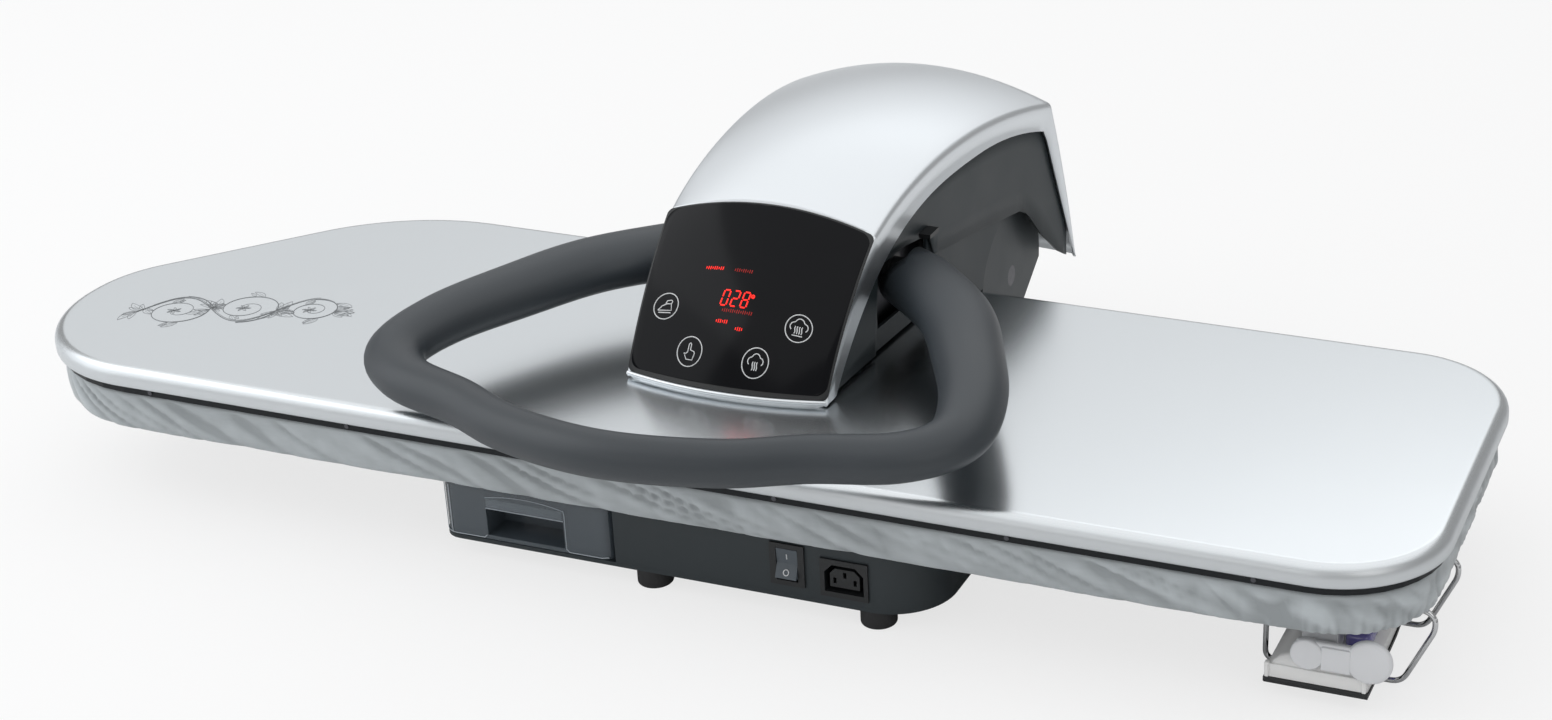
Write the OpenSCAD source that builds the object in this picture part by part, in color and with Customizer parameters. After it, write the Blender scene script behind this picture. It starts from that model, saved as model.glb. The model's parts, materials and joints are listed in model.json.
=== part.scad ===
// Steam ironing press with a tilting head, in millimetres.
// The origin lies on the table top, under the crossing of the head's middle plane and the board's long middle line.
// X runs along the board to its square end, Y to the back, Z up.

/* [Board and plate] */
// Length of the pressing plate
plate_l = 1010; // [900:5:1100]
// Depth of the pressing plate
plate_d = 320; // [300:2:340]
// How far the plate's middle lies left of the head's middle
plate_shift = 10; // [0:1:30]
// Corner radius at the square right end
corner_r = 75; // [50:1:95]
// Radius of the slanted shoulder at the back left
shoulder_r = 150; // [100:2:180]
// Length of the slanted shoulder along the back
shoulder_l = 137; // [110:1:180]
// Radius of the nose at the left end
nose_r = 88; // [60:1:100]
// How far the nose's back corner lies in front of the middle line
nose_y = 17; // [5:1:25]
// Radius of the front left corner
front_left_r = 108; // [60:1:109]
// Height of the shoe cover's rim and top
cover_h = 13.5; // [12:0.5:18]
// Radius of the shoe cover's upper edge
cover_r = 8; // [5:0.5:10]
// Wall of the shoe cover
cover_wall = 2; // [1.5:0.1:2.5]
// Thickness of the heating plate
heater_h = 6; // [5:0.5:9]
// How far the heating plate lies inside the shoe cover's edge
heater_inset = 4; // [3:0.5:6]
// Height of the board's steel pan
pan_h = 16; // [14:1:22]
// Sheet thickness of the board's pan
pan_wall = 1.5; // [1:0.1:2.5]
// Thickness of the felt pad
pad_h = 9.2; // [7:0.1:12]
// Thickness of the cover's cloth
cloth_t = 0.7; // [0.5:0.1:1.2]
// Height of the cloth skirt round the board
skirt_h = 30; // [26:1:34]
// Depth of the skirt's folds
fold_depth = 2.4; // [0:0.1:3]

/* [Base] */
// Width of the base housing
base_w = 356; // [330:2:380]
// Depth of the base housing
base_d = 305; // [290:1:315]
// How far the base's front lies behind the plate's front edge
base_front_inset = 20; // [14:1:30]
// Height of the base housing with its bottom tray
base_h = 44; // [40:1:50]
// Radius of the base's upright corners
base_r = 30; // [20:1:36]
// Radius of the base's front left corner, at the tank
base_left_r = 14; // [10:1:24]
// Radius of the base's front right corner
base_right_r = 42; // [20:1:42]
// Wall of the base housing
base_wall = 2.5; // [2:0.1:3]
// Thickness of the bottom tray
tray_h = 3; // [2.5:0.1:4]
// Height of the rubber feet
foot_h = 13; // [10:0.5:16]
// Radius of the rubber feet
foot_r = 12; // [10:0.5:15]
// Gap between the base's top and the board's pan
board_gap = 7; // [6:0.5:9]

/* [Water tank] */
// Width of the tank drawer
tank_w = 128; // [110:1:132]
// Length of the tank drawer
tank_d = 160; // [120:1:165]
// Wall of the tank
tank_wall = 2.5; // [2:0.1:3.5]
// Clearance between the tank and its bay
tank_gap = 0.3; // [0.2:0.05:0.6]
// Width of the finger recess in the tank's front
recess_w = 58; // [50:1:66]
// Depth of the finger recess
recess_d = 22; // [16:1:28]

/* [Head] */
// Width of the head at the control panel's foot
head_w = 146; // [130:2:160]
// Width of the head at its rear foot
head_rear_w = 212; // [196:2:220]
// Height of the panel's head above the shoe
panel_head_h = 91; // [85:1:97]
// Height of the rear corner above the shoe
rear_top_h = 96; // [92:1:102]
// Rise of the crown across the head
crown_h = 15; // [8:1:20]
// Wall of the head's covers
head_wall = 3; // [2:0.1:3.5]
// Thickness of the control panel's glass
glass_t = 4; // [3:0.1:5]
// Thickness of the steel arm frame
frame_t = 4; // [3:0.5:5]

/* [Hinge] */
// Distance of the hinge behind the board's middle line
hinge_y = 262; // [258:1:266]
// Height of the hinge above the table
hinge_z = 77; // [75:1:80]
// Radius of the hinge shaft
shaft_r = 8; // [6:0.5:9]
// Radius of the hinge tower's round top
tower_r = 62; // [56:1:63]
// Running clearance of shafts and pins
run_gap = 0.05; // [0.03:0.01:0.08]

/* [Handle] */
// Half the thickness of the handle, upright
grip_b = 15; // [13:0.5:17]
// Half the width of the handle's front bar
grip_a = 15; // [14:0.5:18]
// Half the width of the handle at its roots
grip_root_a = 28; // [24:0.5:30]
// Height of the handle's middle line above the shoe
grip_z = 36; // [32:1:40]

/* [Hand iron and rack] */
// Width of the hand iron's sole
iron_w = 66; // [60:1:70]
// Length of the hand iron's sole
iron_l = 196; // [160:2:200]
// Thickness of the rack's wire
wire_d = 3.6; // [3:0.1:4]

/* [Hidden] */
$fn = 48;
eps = 0.01;
seat = 0.05;
cut = 1;

// Heights from the table up.
tray_z = foot_h;
housing_z = tray_z + tray_h;
base_top = tray_z + base_h;
pan_z = base_top + board_gap;
pan_top = pan_z + pan_h;
cloth_top = pan_top + pad_h + cloth_t + 0.3;
skirt_z = cloth_top - skirt_h;
press_gap = 0.4;
heater_z = cloth_top + press_gap;
cover_z = heater_z + heater_h;
shoe_top = cover_z + cover_h;

// Outline of the board: corners and their radii, seen from above, turning left.
hl = plate_l / 2;
hd = plate_d / 2;
outline = [[hl, -hd], [hl, hd], [-hl + shoulder_l, hd], [-hl, -nose_y], [-hl, -hd]];
outline_r = [corner_r, corner_r, shoulder_r, nose_r, front_left_r];
arc_n = 9;

function unit(v) = v / norm(v);
function mix(a, b, t) = a + (b - a) * t;
function bez3(p, t) = mix(mix(p[0], p[1], t), mix(p[1], p[2], t), t);
function bez4(p, t) = mix(bez3([p[0], p[1], p[2]], t), bez3([p[1], p[2], p[3]], t), t);
function edge_angle(i) = let (d = outline[i % 5] - outline[(i + 4) % 5]) atan2(-d[0], d[1]);
function turn(i) = (edge_angle(i + 1) - edge_angle(i) + 720) % 360;
function corner_mid(i) = let (
    a = unit(outline[(i + 4) % 5] - outline[i]),
    b = unit(outline[(i + 1) % 5] - outline[i])
) outline[i] + unit(a + b) * outline_r[i] / cos(turn(i) / 2);
// One corner's arc, drawn inset from the board's edge.
function corner_arc(i, inset, n) = [for (k = [0:n])
    let (a = edge_angle(i) + turn(i) * k / n)
    corner_mid(i) + (outline_r[i] - inset) * [cos(a), sin(a)] - [plate_shift, 0]];
function outline_2d(inset) = [for (i = [0:4]) each corner_arc(i, inset, arc_n)];
// The same outline for cloth, with more points along each edge, which swells a little.
cloth_n = 6;
edge_n = [6, 23, 4, 1, 25];
edge_swell = 0.8;
function cloth_2d(inset) = [for (i = [0:4]) each concat(
    corner_arc(i, inset, cloth_n),
    let (
        a = corner_arc(i, inset, cloth_n)[cloth_n], b = corner_arc((i + 1) % 5, inset, cloth_n)[0],
        out = unit([b[1] - a[1], a[0] - b[0]])
    ) [for (k = [1:edge_n[i]]) let (t = k / (edge_n[i] + 1)) mix(a, b, t) + edge_swell * sin(180 * t) * out])];
function lift(points, z) = [for (p = points) [p[0], p[1], z]];

// A closed solid through a stack of rings. Each ring turns left when it is seen from the last one.
module loft(rings) {
    n = len(rings[0]);
    m = len(rings);
    polyhedron(
        [for (r = rings) each r],
        concat(
            [[for (i = [0:n - 1]) i]],
            [[for (i = [n - 1:-1:0]) (m - 1) * n + i]],
            [for (j = [0:m - 2], i = [0:n - 1]) let (
                a = j * n + i, b = j * n + (i + 1) % n,
                c = (j + 1) * n + (i + 1) % n, d = (j + 1) * n + i
            ) each [[a, d, c], [a, c, b]]]),
        convexity = 8);
}
module plate_slab(inset, z, h) {
    translate([0, 0, z]) linear_extrude(h) polygon(outline_2d(inset));
}
module rounded_box_2d(x0, y0, x1, y1, r) {
    translate([x0 + r, y0]) square([x1 - x0 - 2 * r, y1 - y0]);
    translate([x0, y0 + r]) square([x1 - x0, y1 - y0 - 2 * r]);
    for (x = [x0 + r, x1 - r], y = [y0 + r, y1 - r]) translate([x, y]) circle(r);
}
module box(x0, y0, z0, x1, y1, z1) {
    translate([x0, y0, z0]) cube([x1 - x0, y1 - y0, z1 - z0]);
}
// A cylinder along X, between two places.
module rod_x(x0, x1, y, z, r) {
    translate([x0, y, z]) rotate([0, 90, 0]) cylinder(r = r, h = x1 - x0);
}
module both_sides() {
    children();
    mirror([1, 0, 0]) children();
}
// A profile drawn in Y and Z, extruded along X between two places.
module side_plate(x0, x1) {
    translate([x0, 0, 0]) rotate([90, 0, 90]) linear_extrude(x1 - x0) children();
}

// Board: pan, pad and cloth cover.
pan_inset = 12;
pad_inset = 9;
skirt_inset = 5;
module board_pan() {
    color("gray") difference() {
        plate_slab(pan_inset, pan_z, pan_h);
        plate_slab(pan_inset + pan_wall, pan_z - cut, pan_h - pan_wall + cut);
        for (p = post_places) translate([p[0], p[1], pan_z]) cylinder(r = post_bore_r + run_gap, h = pan_h + cut);
    }
}
module board_pad() {
    color("white") plate_slab(pad_inset, pan_top + seat, pad_h);
}
// Folds run round the skirt and slant with its height; they are deepest near the hem.
function fold(i, level) = fold_depth * level * (sin(i * 47 + level * 60) * 0.6 + sin(i * 21 + 40) * 0.4);
function cloth_ring(inset, z, level) = let (p = cloth_2d(inset), q = cloth_2d(inset + 1))
    [for (i = [0:len(p) - 1]) let (v = p[i] + (q[i] - p[i]) * fold(i, level)) [v[0], v[1], z]];
module board_cover() {
    hem = 12;
    color("lightsteelblue") loft([
        cloth_ring(skirt_inset + 3.8, cloth_top - cloth_t, 0),
        cloth_ring(skirt_inset + 2.2, cloth_top - 3.8, 0),
        cloth_ring(skirt_inset + 1.2, skirt_z + 21, 0.4),
        cloth_ring(skirt_inset + 1.7, skirt_z + 11, 0.8),
        cloth_ring(skirt_inset + 3.6, skirt_z + 3.4, 1),
        cloth_ring(skirt_inset + hem, skirt_z + 2.4, 0.5),
        cloth_ring(skirt_inset + hem, skirt_z + 1.2, 0.5),
        cloth_ring(skirt_inset + 5.5, skirt_z, 1),
        cloth_ring(skirt_inset + 2, skirt_z + 2.4, 1),
        cloth_ring(skirt_inset, skirt_z + 11, 0.8),
        cloth_ring(skirt_inset - 0.5, skirt_z + 21, 0.4),
        cloth_ring(skirt_inset + 0.6, cloth_top - 3, 0),
        cloth_ring(skirt_inset + 3.6, cloth_top, 0)]);
}

// Shoe: the heated plate under its silver cover.
module shoe_cover() {
    color("silver") difference() {
        loft(concat(
            [lift(outline_2d(0.8), cover_z), lift(outline_2d(0), cover_z + 1.2)],
            [for (a = [0:15:90]) lift(outline_2d(cover_r * (1 - cos(a))), shoe_top - cover_r + cover_r * sin(a))]));
        plate_slab(cover_wall + 0.8, cover_z - cut, cover_h - cover_wall - cover_r + cut + 3);
        plate_slab(cover_wall + 4, cover_z, cover_h - cover_wall);
        for (p = mount_places) translate([p[0], p[1], cover_z]) cylinder(r = screw_r + run_gap, h = cover_h + cut);
        translate([manifold_x, manifold_y, cover_z]) cylinder(r = hose_r + 1, h = cover_h + cut);
    }
}
steam_rows = [-110, -66, 66, 110];
module heating_plate() {
    color("dimgray") difference() {
        plate_slab(heater_inset, heater_z, heater_h);
        for (y = steam_rows, x = [-360:120:360]) translate([x, y, heater_z - cut]) cylinder(r = 2, h = heater_h / 2 + cut, $fn = 24);
        for (p = mount_places) translate([p[0], p[1], heater_z + heater_h / 2]) cylinder(r = screw_r + run_gap, h = heater_h);
    }
}
element_r = 3.5;
element_y = 76;
element_x = 380;
module heating_element() {
    z = cover_z + element_r + seat;
    color("darkgray") translate([-plate_shift, 0, z]) {
        for (y = [-element_y, element_y]) translate([-element_x + element_y, y, 0]) rotate([0, 90, 0])
            cylinder(r = element_r, h = 2 * (element_x - element_y), $fn = 24);
        for (s = [-1, 1]) translate([s * (element_x - element_y), 0, 0]) rotate([0, 0, -90 * s])
            rotate_extrude(angle = 180, $fn = 64) translate([element_y, 0]) circle(element_r, $fn = 24);
    }
}
module thermostat() {
    color("gainsboro") translate([-150, 30, cover_z + seat]) {
        cylinder(r = 12, h = 5);
        cylinder(r = 8, h = 8.5);
        for (x = [-9, 5]) translate([x, -2, 5 - eps]) cube([4, 4, 3]);
    }
}
module thermal_fuse() {
    color("white") translate([150, 30, cover_z + 3.1 + seat]) {
        rotate([0, 90, 0]) cylinder(r = 3, h = 26, $fn = 32);
        for (x = [2, 20]) translate([x, -5, -3.1]) cube([4, 10, 1.5]);
    }
}
manifold_x = 0;
manifold_y = -16;
hose_r = 4;
module steam_manifold() {
    color("slategray") translate([manifold_x, manifold_y, 0]) difference() {
        union() {
            translate([-24, -16, cover_z + seat]) cube([48, 26, cover_h - cover_wall - 1]);
            translate([0, 0, cover_z + cover_h - cover_wall - 2]) cylinder(r = hose_r, h = cover_wall + 4);
        }
        translate([0, 0, cover_z + 3]) cylinder(r = hose_r - 1.5, h = 2 * cover_h);
    }
}
module shoe_spacers() {
    color("silver") for (p = mount_places) translate([p[0], p[1], cover_z + seat]) difference() {
        cylinder(r = 8, h = cover_h - cover_wall - 2 * seat);
        translate([0, 0, -cut]) cylinder(r = screw_r + run_gap, h = cover_h + 2 * cut);
    }
}
shoe_screw_x = [-385, -230, -75, 80, 235, 390];
module shoe_screws() {
    // Small screws that hold the cover's rim to the plate's edge, seen in the dark gap.
    color("silver") for (x = shoe_screw_x, s = [-1, 1])
        if (s < 0 || x > -350) translate([x, s * (hd - heater_inset + seat), heater_z + heater_h / 2])
            rotate([-90 * s, 0, 0]) cylinder(r = 1.6, h = 0.8, $fn = 24);
}

// Mount between the shoe and the arm frame.
mount_x = 44;
mount_y0 = 4;
mount_y1 = 108;
screw_r = 2.5;
mount_places = [for (x = [-34, 34], y = [14, 98]) [x, y]];
web_z = shoe_top + 5.3;
module shoe_mount() {
    color("darkgray") difference() {
        box(-mount_x, mount_y0, shoe_top + seat, mount_x, mount_y1, web_z - seat);
        for (p = mount_places) translate([p[0], p[1], shoe_top - cut]) cylinder(r = screw_r + run_gap, h = 10);
        box(-20, 34, shoe_top - cut, 20, 78, web_z + cut);
    }
}
module mount_screws() {
    foot = heater_z + heater_h / 2 + 0.3;
    color("silver") for (p = mount_places) translate([p[0], p[1], 0]) {
        translate([0, 0, foot]) cylinder(r = screw_r, h = web_z + frame_t - foot + eps, $fn = 32);
        translate([0, 0, web_z + frame_t + seat]) cylinder(r = 5, h = 4, $fn = 6);
    }
}

// Head: stations along the crease between the top and the sides, from the panel's foot to the rear foot.
panel_foot = [-59, shoe_top + 4];
panel_bulge = [-28, shoe_top + 55];
panel_head = [20, shoe_top + panel_head_h];
top_front = [62, shoe_top + panel_head_h + 20];
top_back = [163, shoe_top + rear_top_h + 35];
rear_top = [302, shoe_top + rear_top_h];
rear_foot = [343, shoe_top - 42];
rear_bulge = [327, shoe_top + 30];
function crease(s) =
    s <= 1 ? bez3([panel_foot, panel_bulge, panel_head], s) :
    s <= 2 ? bez4([panel_head, top_front, top_back, rear_top], s - 1) :
    bez3([rear_top, rear_bulge, rear_foot], s - 2);
function crease_in(s, d) = let (
    t = unit(crease(min(s + 0.02, 3)) - crease(max(s - 0.02, 0)))
) crease(s) + d * [t[1], -t[0]];
function half_w(y) = let (u = (y - panel_foot[0]) / (rear_foot[0] - panel_foot[0]))
    head_w / 2 + (head_rear_w - head_w) / 2 * (0.42 * u + 0.58 * u * abs(u));
function crown(s) = crown_h * (s < 1 ? mix(0.42, 0.75, s) : s < 2 ? mix(0.75, 1.1, s - 1) : mix(1.1, 0.2, s - 2));
// Lower edge of the silver side flange.
flange_y = 180;
flange_h = 94.5;
function flange(y) = shoe_top + (
    y < -45 ? 2 :
    y < flange_y ? max(2, flange_h - 20.5 * pow((flange_y - y) / 134, 2.91)) :
    y < 292 ? flange_h - 18 * pow((y - flange_y) / 110, 2) :
    mix(flange_h - 18.6, -46, (y - 292) / (rear_foot[0] - 292)));
crown_n = 10;
round_r = 4;
// Cross-section of the head at one station, set in by dw at the sides and by d at the top, and let down by drop.
function head_ring(s, dw, d, drop, edge = round_r) = let (
    c = crease_in(s, d),
    w = half_w(c[0]) - dw,
    foot = min(flange(crease(s)[0]), c[1] - 1.5) - drop,
    r = min(edge, c[1] - foot - 0.4)
) concat(
    [[-w, c[0], foot], [-w, c[0], c[1] - r], [-w + 0.3 * r, c[0], c[1] - 0.3 * r]],
    [for (k = [1:crown_n - 1]) let (u = -1 + 2 * k / crown_n)
        [(w - r * 0.6) * u, c[0], c[1] + crown(s) * (1 - u * u)]],
    [[w - 0.3 * r, c[0], c[1] - 0.3 * r], [w, c[0], c[1] - r], [w, c[0], foot]]);
head_stations = concat([for (k = [0:6]) k / 7], [for (k = [0:11]) 1 + k / 12], [for (k = [0:5]) 2 + k / 5]);
// A strip of the panel's face, between two depths and two stations.
function strip_ring(s, dw, d0, d1) = let (
    a = crease_in(s, d0), b = crease_in(s, d1), w = half_w(a[0]) - dw
) concat(
    [for (k = [crown_n:-1:0]) let (u = -1 + 2 * k / crown_n) [w * u, b[0], b[1] + crown(s) * (1 - u * u)]],
    [for (k = [0:crown_n]) let (u = -1 + 2 * k / crown_n) [w * u, a[0], a[1] + crown(s) * (1 - u * u)]]);
module panel_strip(dw, d0, d1, s0, s1) {
    loft([for (k = [0:8]) strip_ring(mix(s0, s1, k / 8), dw, d0, d1)]);
}
module arm_cover() {
    color("silver") difference() {
        loft([for (s = head_stations) head_ring(s, 0, 0, 0)]);
        loft([for (s = head_stations) head_ring(s, head_wall, head_wall, 12, 0.6)]);
        panel_strip(2.2, -8, 9, 0.04, 0.985);
    }
}
module control_panel() {
    color("black") panel_strip(3, 0.4, 0.4 + glass_t, 0.078, 0.97);
}
panel_tilt = 47;
module on_panel(depth) {
    m = crease_in(0.52, depth);
    translate([0, m[0], m[1]]) rotate([panel_tilt, 0, 0]) children();
}
module panel_board() {
    // Two bosses carry the board on the back of the panel.
    boss_x = 40;
    rise = 10.6 + crown(0.52) * (1 - pow(boss_x / half_w(-20), 2)) * cos(panel_tilt) - 0.9;
    color("darkgreen") on_panel(glass_t + 11) {
        translate([-52, -30, 0]) cube([104, 60, 1.6]);
        for (x = [-boss_x, boss_x]) translate([x, 0, 1]) cylinder(r = 3, h = rise - 1, $fn = 24);
    }
}
module display_module() {
    color("darkred") on_panel(glass_t + 11) translate([-24, -10, 1.6 + seat]) cube([48, 22, 5]);
}

// Dark side panels, set in from the flange, with a cut-out over the handle's root.
function side_foot(y) =
    y < 22 ? shoe_top + 3 :
    y < 30 ? mix(shoe_top + 3, shoe_top + 70, (y - 22) / 8) :
    y < 108 ? mix(shoe_top + 70, shoe_top + 60, (y - 30) / 78) :
    y < 116 ? mix(shoe_top + 60, shoe_top + 42, (y - 108) / 8) :
    y < 255 ? mix(shoe_top + 42, shoe_top + 24, (y - 116) / 139) :
    mix(shoe_top + 24, shoe_top - 45, pow((y - 255) / 84, 1.25));
side_y = [-43, -30, -10, 10, 22, 30, 50, 70, 90, 108, 116, 140, 170, 200, 230, 255, 270, 290, 310, 325, 333];
side_in = 3;
module arm_side() {
    loft([for (y = side_y) let (
        w = half_w(y) - side_in, foot = side_foot(y), head = max(flange(y) + 4, foot + 1.2)
    ) [[w - head_wall, y, foot], [w - head_wall, y, head], [w - 0.3, y, head], [w - 0.3, y, foot]]]);
}
module arm_side_right() {
    color("darkslategray") difference() {
        arm_side();
        side_relief();
    }
}
module arm_side_left() {
    color("darkslategray") mirror([1, 0, 0]) difference() {
        arm_side();
        side_relief();
    }
}
// Keeps the side panel clear of the silver cover above it.
module side_relief() {
    loft([for (s = head_stations) let (r = head_ring(s, -30, head_wall + 0.3, -300)) lift_over(r)]);
}
function lift_over(r) = [[-200, r[0][1], 400], [200, r[0][1], 400], [200, r[0][1], r[2][2] + 1.2], [-200, r[0][1], r[2][2] + 1.2]];

// Inner lower shell of the head: a tub over the shoe, open to the hinge tower behind.
under_y = [-36, -20, 0, 20, 60, 100, 140, 163, 164, 200, 230, 262];
function under_top(y) = shoe_top + min(70, 12 + (y + 36) * 1.05);
function under_ring(y, dw, dz) = let (
    w = half_w(y) - 2 * side_in - 0.3 - dw, foot = (y < 163.5 ? shoe_top + 2.5 : shoe_top - 28) + dz, head = under_top(y) + (dz > 0 ? 9 : 0)
) [[-w, y, foot], [-w, y, head], [w, y, head], [w, y, foot]];
module arm_undershell() {
    color("darkslategray") difference() {
        loft([for (y = under_y) if (y != 163) under_ring(y == 164 ? 170 : y, 0, 0)]);
        loft([for (y = under_y) if (y != 163) under_ring(y == -36 ? -33.5 : y == 164 ? 170 : y, 2.5, 2.5)]);
        box(-100, 100, shoe_top - 40, 100, 170 - eps, shoe_top + 2.5);
        box(-mount_x - 3, mount_y0 - 3, shoe_top, mount_x + 3, mount_y1 + 3, shoe_top + 12);
        box(-14, manifold_y - 10, shoe_top, 14, manifold_y + 10, shoe_top + 12);
        box(-100, 166, shoe_top - 40, 100, 270, shoe_top - 18);
        side_plate(-110, 110) translate([hinge_y, hinge_z]) circle(tower_r + 4, $fn = 96);
        both_sides() box(55, 32, shoe_top + 18, 100, 110, shoe_top + 62);
    }
}

// Steel frame of the arm, from the hinge to the shoe mount.
ear_x = 59;
ear_r = 22;
frame_profile = [
    [0, web_z], [150, web_z], [168, shoe_top + 20], [hinge_y - 18, hinge_z + 40], [hinge_y - ear_r, hinge_z],
    [hinge_y + ear_r, hinge_z], [hinge_y + ear_r, hinge_z + 60], [230, shoe_top + 70], [160, shoe_top + 78],
    [70, shoe_top + 66], [0, shoe_top + 34]];
pin_y = 72;
pin_z = shoe_top + grip_z + 8;
pin_r = 5;
module arm_frame() {
    color("dimgray") difference() {
        union() {
            both_sides() difference() {
                side_plate(ear_x, ear_x + frame_t) {
                    polygon(frame_profile);
                    translate([hinge_y, hinge_z]) circle(ear_r);
                }
                rod_x(ear_x - cut, ear_x + frame_t + cut, hinge_y, hinge_z, shaft_r + 3 + run_gap);
                rod_x(ear_x - cut, ear_x + frame_t + cut, pin_y, pin_z, pin_r + run_gap);
            }
            box(-ear_x - eps, 0, web_z, ear_x + eps, 130, web_z + frame_t);
            box(-ear_x - eps, 206, shoe_top + 52, ear_x + eps, 206 + frame_t, shoe_top + 68);
        }
        for (p = mount_places) translate([p[0], p[1], web_z - cut]) cylinder(r = screw_r + run_gap, h = 8);
    }
}
module hinge_bushes() {
    color("goldenrod") both_sides() difference() {
        union() {
            rod_x(ear_x + eps, ear_x + frame_t + 2, hinge_y, hinge_z, shaft_r + 3);
            rod_x(ear_x + frame_t + seat, ear_x + frame_t + 2, hinge_y, hinge_z, shaft_r + 6);
        }
        rod_x(ear_x - cut, ear_x + frame_t + 4, hinge_y, hinge_z, shaft_r + run_gap);
    }
}
module steam_hose() {
    z = web_z + frame_t + hose_r + 4;
    color("white") union() {
        translate([0, manifold_y, shoe_top + 2.2]) cylinder(r = hose_r, h = z - shoe_top - 2.2);
        translate([0, manifold_y, z]) sphere(hose_r + 0.1);
        translate([0, manifold_y, z]) rotate([-90, 0, 0]) cylinder(r = hose_r, h = 160 - manifold_y);
    }
}

// Hinge tower behind the board.
base_y0 = -hd + base_front_inset;
base_y1 = base_y0 + base_d;
base_x = base_w / 2;
tower_x = 82;
tower_front = max(hd + 18, base_y1 + 13);
tower_foot_y = tower_front + 62;
function tower_arc(d) = [for (k = [0:24]) let (a = mix(194, -7, k / 24))
    [hinge_y + (tower_r - d) * cos(a), hinge_z + (tower_r - d) * sin(a)]];
module tower_2d(d) {
    foot = d > 0 ? housing_z - cut : housing_z + seat;
    polygon(concat([[tower_front + d, foot], [tower_front + d, base_top - d]], tower_arc(d),
        [[tower_foot_y - 2.4 * d, foot]]));
}
module tower_cover() {
    color("darkslategray") difference() {
        side_plate(-tower_x, tower_x) tower_2d(0);
        side_plate(-tower_x + 3, tower_x - 3) tower_2d(3);
        both_sides() box(ear_x - 1.5, hinge_y - tower_r - 18, hinge_z - ear_r - 2, ear_x + frame_t + 4, hinge_y + tower_r + 18, hinge_z + tower_r + 28);
        rod_x(-tower_x - cut, tower_x + cut, hinge_y, hinge_z, shaft_r + run_gap);
    }
}
bracket_x = 44;
bracket_y0 = tower_front + 12;
bracket_y1 = bracket_y0 + 42;
module hinge_bracket() {
    color("gray") difference() {
        union() {
            both_sides() side_plate(bracket_x, bracket_x + frame_t) {
                translate([hinge_y, hinge_z]) circle(26);
                polygon([[bracket_y0, housing_z + 4], [bracket_y0, housing_z + 14], [hinge_y - 26, hinge_z],
                    [hinge_y + 26, hinge_z], [hinge_y, hinge_z - 33], [bracket_y1, housing_z + 4]]);
            }
            box(-bracket_x - frame_t, bracket_y0, housing_z + seat, bracket_x + frame_t, bracket_y1, housing_z + 4 + eps);
        }
        rod_x(-60, 60, hinge_y, hinge_z, shaft_r + run_gap);
        for (p = bracket_places) translate([p[0], p[1], housing_z - cut]) cylinder(r = screw_r + run_gap, h = 8);
    }
}
bracket_places = [for (x = [-30, 30], y = [bracket_y0 + 9, bracket_y1 - 9]) [x, y]];
module bracket_screws() {
    color("silver") for (p = bracket_places) translate([p[0], p[1], tray_z - 3 - seat]) {
        cylinder(r = 4.5, h = 3);
        cylinder(r = screw_r, h = 3 + tray_h + 4 + 5, $fn = 32);
        translate([0, 0, 3 + tray_h + 4 + 3 * seat]) cylinder(r = 4.6, h = 4, $fn = 6);
    }
}
module hinge_shaft() {
    color("silver") rod_x(-tower_x, tower_x, hinge_y, hinge_z, shaft_r);
}
// Torsion springs on the shaft, as ribbed sleeves.
module lift_springs() {
    wire = 3;
    coils = 11;
    color("black") both_sides() translate([6, hinge_y, hinge_z]) rotate([0, 90, 0]) rotate_extrude()
        union() {
            translate([shaft_r + 0.4, 0]) square([1.2, coils * wire]);
            for (k = [0:coils - 1]) translate([shaft_r + 1.5, (k + 0.5) * wire]) circle(wire / 2 - 0.02, $fn = 20);
        }
}

// Base.
bay_x = -base_x + tank_w + 4;
bay_y = base_y0 + tank_d + 4;
roof_z = base_top - base_wall;
module base_2d(d) {
    polygon([[-base_x + base_left_r, base_y0 + d], [base_x - base_right_r, base_y0 + d],
        [base_x - d, base_y0 + base_right_r], [base_x - d, base_y1 - base_r],
        [base_x - base_r, base_y1 - d], [-base_x + base_r, base_y1 - d],
        [-base_x + d, base_y1 - base_r], [-base_x + d, base_y0 + base_left_r]]);
    translate([-base_x + base_left_r, base_y0 + base_left_r]) circle(base_left_r - d);
    translate([base_x - base_right_r, base_y0 + base_right_r]) circle(base_right_r - d, $fn = 96);
    for (s = [-1, 1]) translate([s * (base_x - base_r), base_y1 - base_r]) circle(base_r - d);
}
feet_places = [[bay_x + 22, base_y0 + foot_r], [base_x - 42, base_y0 + foot_r],
    [-base_x + 28, base_y1 - 36], [base_x - 28, base_y1 - 36],
    [-tower_x + 16, tower_front + 42], [tower_x - 16, tower_front + 42]];
module base_tray() {
    color("darkslategray") translate([0, 0, tray_z]) difference() {
        linear_extrude(tray_h) union() {
            base_2d(0);
            translate([-tower_x, base_y1 - 2]) square([2 * tower_x, tower_foot_y - base_y1 + 2]);
        }
        for (p = feet_places) translate([p[0], p[1], -cut]) cylinder(r = 2 + run_gap, h = 6);
        for (p = bracket_places) translate([p[0], p[1], -cut]) cylinder(r = screw_r + run_gap, h = 6);
    }
}
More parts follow.
